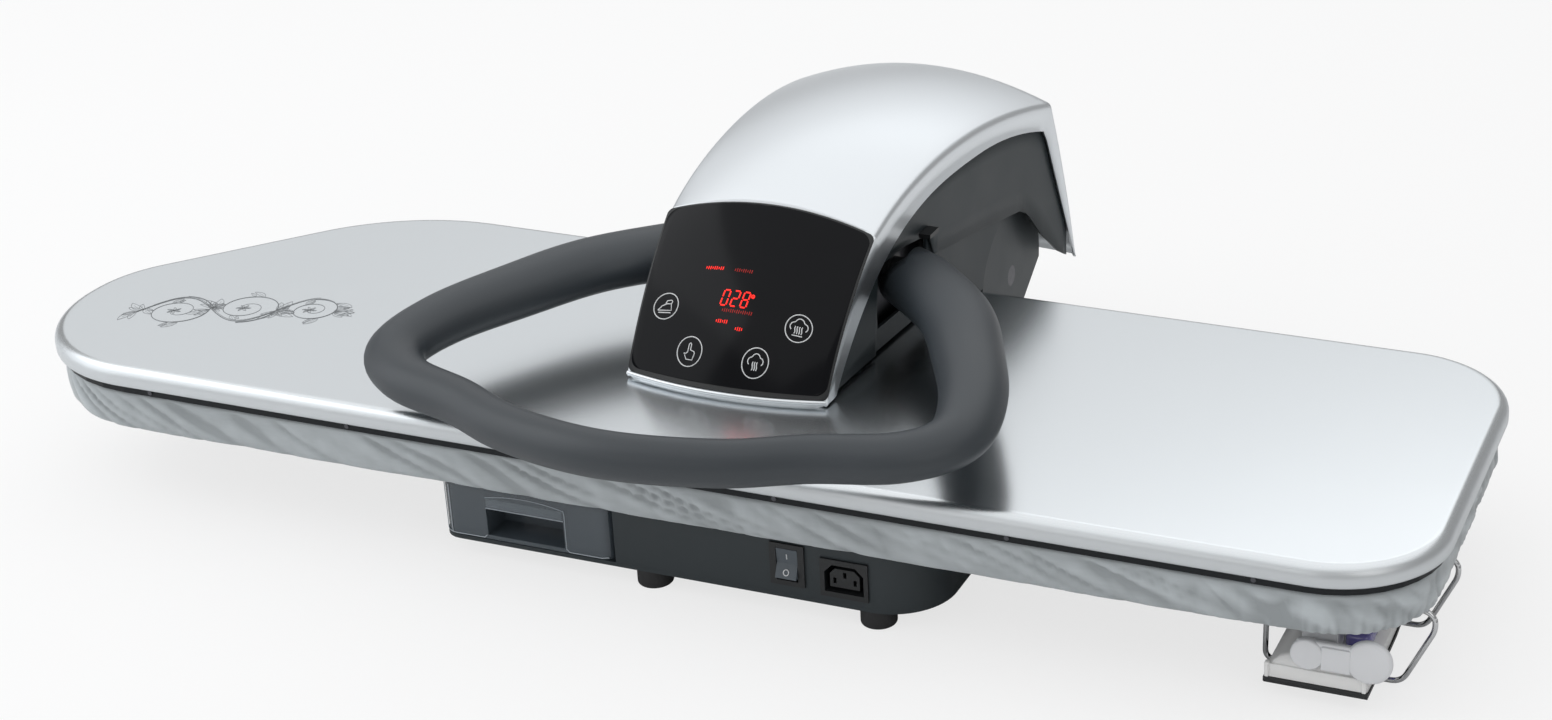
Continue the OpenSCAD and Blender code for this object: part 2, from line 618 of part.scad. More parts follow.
// The front left post stands beside the tank's bay, so that its screw is clear of the tank.
post_back_y = min(base_y1 - 55, hd - 50);
post_places = [[bay_x + 20, base_y0 + 84], [base_x - 24, base_y0 + 84],
    [-base_x + 48, post_back_y], [base_x - 48, post_back_y]];
post_bore_r = 2.5;
switch_x = base_x - 99;
switch_z = housing_z + 22;
outlet_x = base_x - 59.5;
outlet_z = housing_z + 18;
inlet_x = base_x - 48;
inlet_z = housing_z + 18;
module base_housing() {
    color("darkslategray") difference() {
        union() {
            difference() {
                translate([0, 0, housing_z + seat]) linear_extrude(base_top - housing_z - seat) base_2d(0);
                translate([0, 0, housing_z - cut]) linear_extrude(roof_z - housing_z + cut) base_2d(base_wall);
                box(-base_x - cut, base_y0 - cut, housing_z - cut, bay_x, bay_y, roof_z);
            }
            box(bay_x, base_y0, housing_z + seat, bay_x + base_wall, bay_y + base_wall, roof_z + eps);
            box(-base_x + 0.4, bay_y, housing_z + seat, bay_x + base_wall, bay_y + base_wall, roof_z + eps);
        }
        box(switch_x - 9.7, base_y0 - cut, switch_z - 12.7, switch_x + 9.7, base_y0 + 5, switch_z + 12.7);
        box(outlet_x - 15, base_y0 - cut, outlet_z - 11, outlet_x + 15, base_y0 + 5, outlet_z + 11);
        box(inlet_x - 14, base_y1 - 5, inlet_z - 10.5, inlet_x + 14, base_y1 + cut, inlet_z + 10.5);
        translate([seat_x, bay_y - cut, seat_z]) rotate([-90, 0, 0]) cylinder(r = 6 + run_gap, h = 8);
        for (p = post_places) translate([p[0], p[1], roof_z - cut]) cylinder(r = post_bore_r + run_gap, h = 8);
    }
}
module feet() {
    color("black") for (p = feet_places) translate([p[0], p[1], 0]) difference() {
        rotate_extrude() union() {
            translate([0, 2]) square([foot_r, foot_h - 2]);
            square([foot_r - 2, 3]);
            translate([foot_r - 2, 2]) circle(2, $fn = 32);
        }
        translate([0, 0, -cut]) cylinder(r = 4.6, h = 5 + cut, $fn = 32);
        translate([0, 0, -cut]) cylinder(r = 2 + run_gap, h = foot_h + 2 * cut, $fn = 32);
    }
}
module foot_screws() {
    color("silver") for (p = feet_places) translate([p[0], p[1], 0]) {
        translate([0, 0, 2.4]) cylinder(r = 4.2, h = 2.6 - seat, $fn = 32);
        translate([0, 0, 2.4]) cylinder(r = 2, h = tray_z + tray_h + 3 - 2.4, $fn = 32);
    }
}
module board_posts() {
    color("gray") for (p = post_places) translate([p[0], p[1], base_top + seat]) difference() {
        cylinder(r = 9, h = pan_top - pan_wall - base_top - 2 * seat);
        translate([0, 0, -cut]) cylinder(r = post_bore_r + run_gap, h = pan_h + 10);
    }
}
module post_screws() {
    color("silver") for (p = post_places) translate([p[0], p[1], roof_z - 3 - seat]) {
        cylinder(r = 4.5, h = 3);
        cylinder(r = post_bore_r, h = pan_top - roof_z + 3, $fn = 32);
    }
}

// Water tank drawer.
tank_x0 = -base_x + 1.5;
tank_x1 = tank_x0 + tank_w;
tank_y0 = base_y0 + 0.5;
tank_y1 = tank_y0 + tank_d;
tank_z0 = housing_z + tank_gap;
tank_lid_t = 1.6;
tank_z1 = roof_z - tank_gap - tank_lid_t - seat;
recess_x0 = tank_x0 + 35;
recess_x1 = recess_x0 + recess_w;
recess_z0 = tank_z0 + 3;
recess_z1 = tank_z1 - 5;
lip_z = recess_z1 - 8;
seat_x = tank_x0 + 30;
seat_z = housing_z + 17;
tank_r = base_left_r - 2;
module tank_shape(d, z0, z1) {
    translate([0, 0, z0]) linear_extrude(z1 - z0) {
        difference() {
            rounded_box_2d(tank_x0 + d, tank_y0 + d, tank_x1 - d, tank_y1 - d, 7 - d);
            translate([tank_x0 - cut, tank_y0 - cut]) square(tank_r + cut);
        }
        translate([tank_x0 + tank_r, tank_y0 + tank_r]) circle(tank_r - d, $fn = 96);
    }
}
module tank_body() {
    color("slategray") difference() {
        union() {
            difference() {
                tank_shape(0, tank_z0, tank_z1);
                tank_shape(tank_wall, tank_z0 + tank_wall, tank_z1 + cut);
            }
            box(recess_x0 - tank_wall, tank_y0 + 1, tank_z0 + 1, recess_x1 + tank_wall, tank_y0 + recess_d + tank_wall, recess_z1 + tank_wall);
        }
        box(recess_x0, tank_y0 + tank_wall, recess_z0, recess_x1, tank_y0 + recess_d, recess_z1);
        box(recess_x0, tank_y0 - cut, recess_z0, recess_x1, tank_y0 + recess_d, lip_z);
        translate([seat_x, tank_y1 - tank_wall - cut, seat_z]) rotate([-90, 0, 0]) cylinder(r = 4, h = tank_wall + 2 * cut);
    }
}
module tank_lid() {
    color("slategray") difference() {
        tank_shape(0, tank_z1 + seat, tank_z1 + seat + tank_lid_t);
        box(tank_x0 + 34, tank_y0 + 54, tank_z1 - cut, tank_x1 - 34, tank_y1 - 46, tank_z1 + 5);
    }
}
module tank_seat() {
    color("white") translate([seat_x, 0, seat_z]) rotate([-90, 0, 0]) difference() {
        union() {
            translate([0, 0, tank_y1 + 0.3]) cylinder(r = 6, h = bay_y + base_wall + 8 - tank_y1 - 0.3);
            translate([0, 0, bay_y + base_wall + seat]) cylinder(r = 9, h = 2);
        }
        translate([0, 0, tank_y1 - cut]) cylinder(r = 3, h = 40);
    }
}
// Water pump, its bracket and hoses.
pump_x = 20;
pump_y = 60;
pump_z = seat_z;
module pump() {
    color("gold") translate([pump_x, pump_y, pump_z]) {
        translate([-18, -16, -14]) cube([36, 32, 28]);
        rotate([0, 90, 0]) translate([0, 0, -34]) cylinder(r = 9, h = 68);
        rotate([0, 90, 0]) translate([0, 0, -46]) cylinder(r = 3.5, h = 92);
    }
}
module pump_bracket() {
    color("gray") translate([pump_x, pump_y, 0]) {
        box(-12, -30, housing_z + seat, 12, 30, housing_z + 2);
        for (s = [-1, 1]) box(-12, s * (17 + seat) - 1, housing_z + seat, 12, s * (17 + seat) + 1, pump_z);
    }
}
module suction_hose() {
    y0 = bay_y + base_wall + 8.3;
    color("white") {
        translate([seat_x, y0, seat_z]) rotate([-90, 0, 0]) cylinder(r = 4.5, h = pump_y - y0);
        translate([seat_x, pump_y, seat_z - 6]) cylinder(r = 6.5, h = 12);
        translate([seat_x, pump_y, seat_z]) rotate([0, 90, 0]) cylinder(r = 4.5, h = pump_x - 46.3 - seat_x);
    }
}
module delivery_hose() {
    x0 = pump_x + 46.3;
    x1 = x0 + 18;
    color("white") {
        translate([x0, pump_y, pump_z]) rotate([0, 90, 0]) cylinder(r = 4.5, h = x1 - x0);
        translate([x1, pump_y, pump_z - 6]) cylinder(r = 6.5, h = 12);
        translate([x1, pump_y, pump_z]) rotate([-90, 0, 0]) cylinder(r = 4.5, h = base_y1 - base_wall - 1 - pump_y);
    }
}
pcb_z = housing_z + 9;
pcb_x = base_x - 118;
pcb_y = base_y0 + 50;
module power_board() {
    color("darkgreen") translate([pcb_x, pcb_y, pcb_z]) {
        cube([105, 90, 1.6]);
        translate([10, 40, 1.6 - eps]) cube([38, 34, 22]);
        for (x = [62, 94]) translate([x, 72, 1.6 - eps]) cylinder(r = 7, h = 18);
        translate([58, 6, 1.6 - eps]) cube([20, 18, 10]);
    }
}
module board_standoffs() {
    color("white") for (x = [5, 100], y = [5, 85])
        translate([pcb_x + x, pcb_y + y, housing_z + seat]) cylinder(r = 4, h = pcb_z - housing_z - 2 * seat, $fn = 24);
}

// Mains inlet at the back, and the outlet for the hand iron in front.
module inlet_2d(w, h) {
    c = h * 0.28;
    polygon([[-w / 2, -h / 2], [w / 2, -h / 2], [w / 2, h / 2 - c], [w / 2 - c, h / 2], [-w / 2 + c, h / 2], [-w / 2, h / 2 - c]]);
}
module power_inlet() {
    color("black") translate([inlet_x, base_y1, inlet_z]) rotate([-90, 0, 0]) difference() {
        union() {
            translate([-25, -11.5, seat]) cube([50, 23, 2]);
            translate([-13.5, -10, -24]) cube([27, 20, 24 + seat + eps]);
        }
        difference() {
            translate([0, 0, -18]) linear_extrude(22) mirror([0, 1]) inlet_2d(24, 16.5);
            for (x = [-7, 0, 7]) translate([x - 1, (x == 0 ? -3.5 : 0.5) - 2, -19]) cube([2, 4, 13]);
        }
        for (x = [-20, 20]) translate([x, 0, -cut]) cylinder(r = 1.7, h = 5, $fn = 24);
    }
}
module iron_outlet() {
    color("black") translate([outlet_x, base_y0, outlet_z]) rotate([90, 0, 0]) difference() {
        union() {
            translate([-16.5, -13.5, seat]) cube([33, 27, 1.5]);
            translate([-14.5, -10.7, -22]) cube([29, 21.4, 22 + seat + eps]);
        }
        difference() {
            translate([0, 0, -14]) linear_extrude(20) inlet_2d(27, 19.6);
            translate([0, 0, -15]) linear_extrude(15) inlet_2d(20.5, 13.2);
        }
        for (x = [-7, 0, 7]) translate([x - 1, (x == 0 ? 2.6 : -2) - 2, -13]) cube([2.2, 4.2, 20]);
    }
}

// Rocker switch, shown switched on, with its upper half pressed in.
rocker_y = base_y0 + 5;
rocker_tilt = 9;
module switch_frame() {
    color("black") difference() {
        union() {
            box(switch_x - 12, base_y0 - 1.6, switch_z - 15, switch_x + 12, base_y0 - seat, switch_z + 15);
            box(switch_x - 9.4, base_y0 - 1.6, switch_z - 12.4, switch_x + 9.4, base_y0 + 16, switch_z + 12.4);
        }
        box(switch_x - 7.6, base_y0 - 5, switch_z - 11.6, switch_x + 7.6, base_y0 + 13, switch_z + 11.6);
        rod_x(switch_x - 9, switch_x + 9, rocker_y, switch_z, 1.2 + run_gap);
    }
}
module switch_pin() {
    color("silver") rod_x(switch_x - 8.9, switch_x + 8.9, rocker_y, switch_z, 1.2);
}
module rocker() {
    color("black") translate([0, rocker_y, switch_z]) rotate([-rocker_tilt, 0, 0]) difference() {
        side_plate(switch_x - 7.3, switch_x + 7.3)
            polygon([[-8.2, 10.1], [-5.6, 0], [-8.2, -10.1], [-1, -10.3], [4, -5], [4, 5], [-1, 10.3]]);
        rod_x(switch_x - 9, switch_x + 9, 0, 0, 1.2 + run_gap);
    }
}

// Handle: one loop round the head, wider at its roots.
grip_path = [[0, -226, -1], [70, -211, -3], [121, -187, -3], [171, -168, -3], [196, -139, 0], [190, -94, 4],
    [166, -40, 6], [134, 16, 8], [81, 70, 8]];
function grip_point(t) = let (
    n = len(grip_path) - 1, i = min(floor(t * n), n - 1), u = t * n - i,
    a = i > 0 ? grip_path[i - 1] : [-grip_path[1][0], grip_path[1][1], 0],
    b = grip_path[i], c = grip_path[i + 1],
    d = i < n - 1 ? grip_path[i + 2] : 2 * c - b
) 0.5 * (2 * b + (c - a) * u + (2 * a - 5 * b + 4 * c - d) * u * u + (3 * b - a - 3 * c + d) * u * u * u)
    + [0, 0, shoe_top + grip_z];
grip_steps = 26;
grip_sides = 14;
function grip_half(t) = grip_a + (grip_root_a - grip_a) * max(0, (t - 0.2) / 0.8);
function mirror_x(p) = [-p[0], p[1], p[2]];
function grip_at(s) = s < 0 ? mirror_x(grip_point(-s)) : grip_point(s);
function grip_dir(s) = s >= 1 ? [-1, 0, 0] : s <= -1 ? [-1, 0, 0]
    : unit(grip_at(min(1, s + 0.01)) - grip_at(max(-1, s - 0.01)));
function grip_ring(s) = let (
    d = grip_dir(s), side = unit(cross(d, [0, 0, 1])), up = cross(side, d), a = grip_half(abs(s))
) [for (k = [0:grip_sides - 1]) let (v = 360 * k / grip_sides) grip_at(s) + side * a * cos(v) + up * grip_b * sin(v)];
module handle_grip() {
    color("darkslategray") loft([for (k = [-grip_steps:grip_steps]) grip_ring(k / grip_steps)]);
}
module handle_hubs() {
    color("black") both_sides() difference() {
        union() {
            rod_x(ear_x + frame_t + 0.3, ear_x + frame_t + 4, pin_y, pin_z, 14);
            rod_x(ear_x + frame_t + 3, grip_path[8][0] - seat, pin_y, pin_z, 11);
        }
        rod_x(ear_x, ear_x + frame_t + 10, pin_y, pin_z, pin_r + run_gap);
    }
}
module handle_pins() {
    color("silver") both_sides() rod_x(ear_x - 3, ear_x + frame_t + 9.5, pin_y, pin_z, pin_r);
}
module handle_catches() {
    y = 98;
    color("black") both_sides()
        box(half_w(y + 8) - side_in - 0.2, y - 8, shoe_top + 64, half_w(y) + 6, y + 8, shoe_top + 67);
}

// Wire rack under the square end, with the hand iron in it.
board_end = hl - plate_shift;
rack_x0 = board_end - 111.5;
rack_x1 = board_end - 25;
rack_out = board_end - 4;
rack_in = board_end - 22;
rack_y = [-96, -26, 20, 66];
rack_z0 = 4;
rack_z1 = pan_z + 6;
// A wire bent in X and Z, with rounded bends.
bend_r = 7;
function bent(points) = concat([points[0]],
    [for (i = [1:len(points) - 2]) let (
        a = points[i] + bend_r * unit(points[i - 1] - points[i]), c = points[i] + bend_r * unit(points[i + 1] - points[i])
    ) each [for (k = [0:3]) bez3([a, points[i], c], k / 3)]],
    [points[len(points) - 1]]);
module wire_loop(y, points) {
    path = bent(points);
    n = len(path);
    loft([for (i = [0:n - 1]) let (
        d = unit(path[min(i + 1, n - 1)] - path[max(i - 1, 0)])
    ) [for (k = [0:9]) let (c = wire_d / 2 * cos(36 * k), s = wire_d / 2 * sin(36 * k))
        [path[i][0] - d[1] * c, y - s, path[i][1] + d[0] * c]]]);
}
module cross_wire(x, z) {
    translate([x, rack_y[0] - 4, z]) rotate([-90, 0, 0]) cylinder(d = wire_d, h = rack_y[3] - rack_y[0] + 8);
}
module iron_rack() {
    color("silver") {
        // The two front loops reach out past the skirt; the back ones stay under the board.
        for (y = [rack_y[0], rack_y[1]]) wire_loop(y, [[rack_x0, rack_z1], [rack_x0, rack_z0], [rack_x1, rack_z0],
            [rack_out, skirt_z - 14], [rack_out - 3, skirt_z - 4], [rack_in, skirt_z - 3], [rack_in, rack_z1]]);
        for (y = [rack_y[2], rack_y[3]]) wire_loop(y, [[rack_x0, rack_z1], [rack_x0, rack_z0],
            [rack_x1 - 8, rack_z0], [rack_in, skirt_z - 20], [rack_in, rack_z1]]);
        for (x = [rack_x0 + 10, rack_x1 - 18]) cross_wire(x, rack_z0 + wire_d + seat);
        for (x = [rack_x0 + wire_d + seat, rack_in - wire_d - seat]) cross_wire(x, rack_z1 - 3);
    }
}
module rack_rail() {
    color("gray") for (x = [rack_x0, rack_in])
        box(x - 5, rack_y[0] - 8, rack_z1 + seat, x + 5, rack_y[3] + 8, pan_top - pan_wall - seat);
}
// Sleeves on the rack's lower wires, on which it rests on the table.
module rack_sleeves() {
    color("lightgray") for (y = rack_y, x = [rack_x0 + 24, rack_x1 - 34]) translate([x - 7, y, rack_z0]) rotate([0, 90, 0])
        difference() {
            cylinder(r = rack_z0, h = 14);
            translate([0, 0, -cut]) cylinder(r = wire_d / 2 + run_gap, h = 16);
        }
}
iron_x0 = rack_x0 + wire_d / 2 + 6.2;
iron_y0 = -132;
iron_z = rack_z0 + 1.5 * wire_d + 0.3;
sole_t = 3;
iron_h = 42;
function sole_half(y) = let (u = (y - iron_y0) / iron_l) iron_w / 2 * (u < 0.35 ? mix(0.98, 1, u / 0.35) : sqrt(max(0.004, 1 - pow((u - 0.35) / 0.65, 2))));
iron_mid = iron_x0 + iron_w / 2;
iron_stations = [for (k = [0:10]) iron_y0 + iron_l * k / 10];
function iron_ring(y, k, z0, z1) = let (w = max(1.5, sole_half(y) * k)) [[iron_mid - w, y, z0], [iron_mid - w * 0.86, y, z1], [iron_mid + w * 0.86, y, z1], [iron_mid + w, y, z0]];
module iron_sole() {
    color("black") loft([for (y = iron_stations) let (w = max(1.5, sole_half(y)))
        [[iron_mid - w, y, iron_z], [iron_mid - w, y, iron_z + sole_t], [iron_mid + w, y, iron_z + sole_t], [iron_mid + w, y, iron_z]]]);
}
module iron_body() {
    color("white")
        loft([for (y = iron_stations) iron_ring(y, 0.95, iron_z + sole_t + seat, iron_z + mix(24, 12, (y - iron_y0) / iron_l))]);
}
module iron_lobes() {
    color("lightgray") translate([0, iron_y0 - 6 - seat, iron_z + 22]) rotate([-90, 0, 0]) {
        translate([iron_mid - 22, 0, 0]) cylinder(r = 13, h = 6);
        translate([iron_mid + 20, 0, 0]) cylinder(r = 17, h = 6);
        translate([iron_mid - 22, -9, 0]) cube([44, 18, 6]);
    }
}
module iron_grip() {
    color("lightgray") {
        box(iron_mid - 11, iron_y0 + 6, iron_z + 24, iron_mid + 11, iron_y0 + 24, iron_z + iron_h);
        box(iron_mid - 11, iron_y0 + 6, iron_z + iron_h - 12, iron_mid + 11, iron_y0 + 130, iron_z + iron_h);
        box(iron_mid - 11, iron_y0 + 112, iron_z + 18.3, iron_mid + 11, iron_y0 + 130, iron_z + iron_h);
    }
}
module iron_tank() {
    color("slateblue") box(iron_mid + 14, iron_y0 + 10, iron_z + 24.3, iron_mid + 30, iron_y0 + 70, iron_z + 38);
}

base_tray();
base_housing();
feet();
foot_screws();
board_posts();
post_screws();
board_pan();
board_pad();
board_cover();
tank_seat();
suction_hose();
pump();
pump_bracket();
delivery_hose();
power_board();
board_standoffs();
power_inlet();
iron_outlet();
switch_frame();
switch_pin();
rocker();
tank_body();
tank_lid();
tower_cover();
hinge_bracket();
bracket_screws();
hinge_shaft();
lift_springs();
iron_rack();
rack_rail();
rack_sleeves();
arm_cover();
arm_side_left();
arm_side_right();
arm_undershell();
arm_frame();
hinge_bushes();
control_panel();
panel_board();
display_module();
shoe_mount();
mount_screws();
shoe_cover();
shoe_spacers();
heating_plate();
heating_element();
thermostat();
thermal_fuse();
steam_manifold();
steam_hose();
shoe_screws();
handle_pins();
handle_catches();
handle_grip();
handle_hubs();
iron_sole();
iron_body();
iron_lobes();
iron_grip();
iron_tank();
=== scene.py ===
import json
import math

import bmesh
import bpy
from mathutils import Matrix, Vector, noise


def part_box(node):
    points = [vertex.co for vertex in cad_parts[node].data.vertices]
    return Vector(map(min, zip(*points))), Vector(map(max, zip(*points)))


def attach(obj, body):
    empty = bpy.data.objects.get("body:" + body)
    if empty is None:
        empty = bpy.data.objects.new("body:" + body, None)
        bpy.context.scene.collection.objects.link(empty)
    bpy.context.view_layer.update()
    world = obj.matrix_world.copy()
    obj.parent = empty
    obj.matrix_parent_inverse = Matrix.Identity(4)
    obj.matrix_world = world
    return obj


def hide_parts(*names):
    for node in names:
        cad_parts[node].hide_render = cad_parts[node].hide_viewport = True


bl_info = {
    "name": "Steam ironing press",
    "version": (1, 0, 0),
    "blender": (4, 5, 0),
    "location": "View3D > Sidebar > Ironing press",
    "description": "Dresses the packed ironing press with its cloth, covers, handle, panel and hand iron",
    "category": "Object",
}

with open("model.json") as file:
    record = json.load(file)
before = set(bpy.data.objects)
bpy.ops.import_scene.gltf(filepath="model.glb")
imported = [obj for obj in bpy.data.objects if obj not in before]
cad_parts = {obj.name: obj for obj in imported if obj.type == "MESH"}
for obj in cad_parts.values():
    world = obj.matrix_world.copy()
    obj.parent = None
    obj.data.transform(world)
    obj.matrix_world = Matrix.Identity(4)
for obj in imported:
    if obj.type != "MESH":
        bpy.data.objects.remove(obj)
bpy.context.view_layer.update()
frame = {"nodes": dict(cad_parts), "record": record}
MM = 0.001
THREAD_APART = 0.0006


def top_of(node):
    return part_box(node)[1].z / MM


SHOE_TOP = round(top_of("shoe_cover"), 3)
PLATE_LOW, PLATE_HIGH = (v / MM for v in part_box("shoe_cover"))
CLOTH_LOW, CLOTH_HIGH = (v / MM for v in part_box("board_cover"))
RACK_LOW, RACK_HIGH = (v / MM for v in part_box("iron_rack"))
SOLE_LOW, SOLE_HIGH = (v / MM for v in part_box("iron_sole"))


# Sizes and colours that a user would change.


def length_setting(name, description, default):
    return bpy.props.FloatProperty(
        name=name, description=description, default=default, unit="LENGTH", subtype="DISTANCE", precision=4
    )


def colour_setting(name, description, default):
    return bpy.props.FloatVectorProperty(
        name=name, description=description, default=default, size=3, subtype="COLOR", min=0.0, max=1.0
    )


class PressSizes(bpy.types.PropertyGroup):
    corner: length_setting("Corner", "Radius of the plate's square right corners", 0.075)
    shoulder: length_setting("Shoulder", "Radius of the slanted shoulder at the back left", 0.15)
    nose: length_setting("Nose", "Radius of the plate's left end", 0.088)
    front_left: length_setting("Front left", "Radius of the front left corner", 0.108)
    plate_edge: length_setting("Plate edge", "Radius of the shoe cover's upper edge", 0.008)
    fold: length_setting("Fold depth", "Depth of the skirt's slanting folds", 0.0044)
    pucker: length_setting("Pucker depth", "Depth of the skirt's small puckers", 0.0016)
    gather: length_setting("Gather depth", "Depth of the gathers round the right corner", 0.0011)
    arm_edge: length_setting("Arm edge", "Radius of the edge between the arm's top and sides", 0.0055)
    ring: length_setting("Button ring", "Radius of the rings round the touch buttons", 0.0092)
    wire: length_setting("Rack wire", "Radius of the rack's wire", 0.0018)


class PressColours(bpy.types.PropertyGroup):
    silver: colour_setting("Silver", "Satin silver of the shoe cover", (0.75, 0.78, 0.80))
    arm_silver: colour_setting("Arm silver", "Satin silver of the arm", (0.79, 0.82, 0.845))
    cloth: colour_setting("Cloth", "Pale cloth of the board's cover", (0.52, 0.56, 0.58))
    dark: colour_setting("Dark plastic", "Housing and side panels", (0.019, 0.026, 0.030))
    foam: colour_setting("Foam", "Soft cover of the handle", (0.024, 0.030, 0.036))
    smoke: colour_setting("Smoke", "Smoky clear plastic of the tank", (0.075, 0.092, 0.108))
    tint: colour_setting("Tint", "Tinted clear plastic of the hand iron's tank", (0.16, 0.14, 0.42))
    glow: colour_setting("Glow", "Lit figures of the display", (1.0, 0.02, 0.012))


def sizes():
    return bpy.context.scene.press_sizes


def colours():
    return bpy.context.scene.press_colours


# Finishes. A Signal is a shader socket on which sums and products can be written.


class Signal:
    def __init__(self, finish, socket):
        self.finish = finish
        self.socket = socket

    def maths(self, operation, other=None, swapped=False):
        pair = (other, self) if swapped else (self, other)
        values = {0: pair[0]}
        if pair[1] is not None:
            values[1] = pair[1]
        return self.finish.node("ShaderNodeMath", {"operation": operation}, values)

    def __add__(self, other):
        return self.maths("ADD", other)

    __radd__ = __add__

    def __mul__(self, other):
        return self.maths("MULTIPLY", other)

    __rmul__ = __mul__

    def __sub__(self, other):
        return self.maths("SUBTRACT", other)

    def __rsub__(self, other):
        return self.maths("SUBTRACT", other, True)

    def sine(self):
        return self.maths("SINE")

    def held(self):
        return self.finish.node("ShaderNodeMath", {"operation": "ADD", "use_clamp": True}, {0: self, 1: 0.0})


class Finish:
    """One material, with the Principled shader and the nodes that feed it."""

    def __init__(self, name, colour, roughness=0.5, metallic=0.0, **constants):
        self.material = bpy.data.materials.new(name)
        self.material.use_nodes = True
        self.tree = self.material.node_tree
        self.tree.nodes.clear()
        self.shader = self.tree.nodes.new("ShaderNodeBsdfPrincipled")
        output = self.tree.nodes.new("ShaderNodeOutputMaterial")
        self.tree.links.new(self.shader.outputs[0], output.inputs[0])
        self.colour = colour
        self.put("Base Color", (*colour, 1.0))
        self.put("Roughness", roughness)
        self.put("Metallic", metallic)
        for socket, value in constants.items():
            self.put(socket.replace("_", " "), value)

    def put(self, socket, value):
        target = self.shader.inputs[socket]
        if isinstance(value, Signal):
            self.tree.links.new(value.socket, target)
        else:
            target.default_value = value

    def node(self, kind, settings=None, values=None, out=0):
        made = self.tree.nodes.new(kind)
        for setting, value in (settings or {}).items():
            setattr(made, setting, value)
        for socket, value in (values or {}).items():
            target = made.inputs[socket]
            if isinstance(value, Signal):
                self.tree.links.new(value.socket, target)
            else:
                target.default_value = value
        return Signal(self, made.outputs[out])

    def place(self, stretch=(1.0, 1.0, 1.0), own_map=False):
        coords = self.node("ShaderNodeTexCoord", out="UV" if own_map else "Object")
        return self.node("ShaderNodeMapping", None, {"Vector": coords, "Scale": stretch})

    def noise(self, per_metre, detail=2.0, stretch=(1.0, 1.0, 1.0), own_map=False):
        return self.node(
            "ShaderNodeTexNoise",
            None,
            {"Vector": self.place(stretch, own_map), "Scale": per_metre, "Detail": detail, "Roughness": 0.55},
        )

    def cells(self, per_metre):
        return self.node("ShaderNodeTexVoronoi", None, {"Vector": self.place(), "Scale": per_metre})

    def between(self, mask, colour, other):
        """Goes from one colour to the other as the mask rises."""
        ends = {0: mask.held(), 6: (*colour, 1.0), 7: (*other, 1.0)}
        return self.node("ShaderNodeMix", {"data_type": "RGBA"}, ends, 2)

    def vary_colour(self, mask, other):
        self.put("Base Color", self.between(mask, self.colour, other))

    def bump(self, height, distance, strength):
        values = {"Height": height, "Distance": distance, "Strength": strength}
        self.put("Normal", self.node("ShaderNodeBump", None, values))


def shade(colour, factor):
    return tuple(min(1.0, c * factor) for c in colour)


def satin_silver(name, colour, roughness, brim=None):
    """Metallic paint. Below the height brim, in metres, it is rougher and painted shade darkens its colour, as on the
    rolled edge of the plate.
    """
    finish = Finish(name, colour, roughness, 1.0)
    flake = finish.noise(1400.0, 1.0)
    cloud = finish.noise(7.0, 2.0)
    duller_and_shaded = 0.0
    if brim is not None:
        height = finish.node("ShaderNodeSeparateXYZ", None, {"Vector": finish.place()}, 2)
        duller_and_shaded = ((brim - height) * 400.0).held()
    # Painted shade: below the brim the colour is darkened, which dims the rolled edge and its highlight.
    finish.vary_colour(cloud * 0.14 + flake * 0.1 + duller_and_shaded * 0.76, shade(colour, 0.82))
    finish.put("Roughness", cloud * 0.05 + flake * 0.06 + duller_and_shaded * 0.2 + (roughness - 0.055))
    finish.bump(flake, 0.00002, 0.35)
    return finish.material


def grained_plastic(name, colour, roughness):
    finish = Finish(name, colour, roughness)
    pits = finish.cells(900.0)
    cloud = finish.noise(22.0, 3.0)
    finish.vary_colour(cloud * 0.6, shade(colour, 1.35))
    finish.put("Roughness", cloud * 0.14 + (roughness - 0.07))
    finish.bump(pits, 0.00006, 0.5)
    return finish.material


def smooth_plastic(name, colour, roughness):
    finish = Finish(name, colour, roughness)
    cloud = finish.noise(30.0, 2.0)
    finish.vary_colour(cloud * 0.4, shade(colour, 0.94))
    finish.put("Roughness", cloud * 0.1 + (roughness - 0.05))
    finish.bump(finish.noise(260.0, 1.0), 0.00004, 0.3)
    return finish.material


def clear_plastic(name, colour, alpha):
    finish = Finish(name, colour, 0.12, Coat_Weight=0.6, Coat_Roughness=0.04)
    smear = finish.noise(35.0, 3.0)
    finish.put("Roughness", smear * 0.14 + 0.05)
    finish.put("Alpha", smear * 0.06 + (alpha - 0.03))
    finish.vary_colour(smear * 0.5, shade(colour, 1.3))
    return finish.material


def bare_metal(name, colour, roughness):
    finish = Finish(name, colour, roughness, 1.0)
    streaks = finish.noise(240.0, 3.0)
    finish.vary_colour(streaks * 0.5, shade(colour, 0.8))
    finish.put("Roughness", streaks * 0.16 + (roughness - 0.08))
    finish.bump(streaks, 0.00003, 0.4)
    return finish.material


def soft_foam(name, colour):
    finish = Finish(name, colour, 0.5, Specular_IOR_Level=0.6)
    skin = finish.noise(1500.0, 2.0)
    cloud = finish.noise(16.0, 2.0)
    finish.vary_colour(skin * 0.6 + cloud * 0.3, shade(colour, 1.5))
    finish.put("Roughness", skin * 0.1 + cloud * 0.08 + 0.36)
    finish.bump(skin + finish.cells(2100.0) * 0.6, 0.00012, 0.55)
    return finish.material


def rubber_finish(name, colour):
    finish = Finish(name, colour, 0.75)
    skin = finish.noise(700.0, 2.0)
    finish.vary_colour(skin * 0.5, shade(colour, 1.6))
    finish.put("Roughness", skin * 0.15 + 0.66)
    finish.bump(skin, 0.00008, 0.5)
    return finish.material


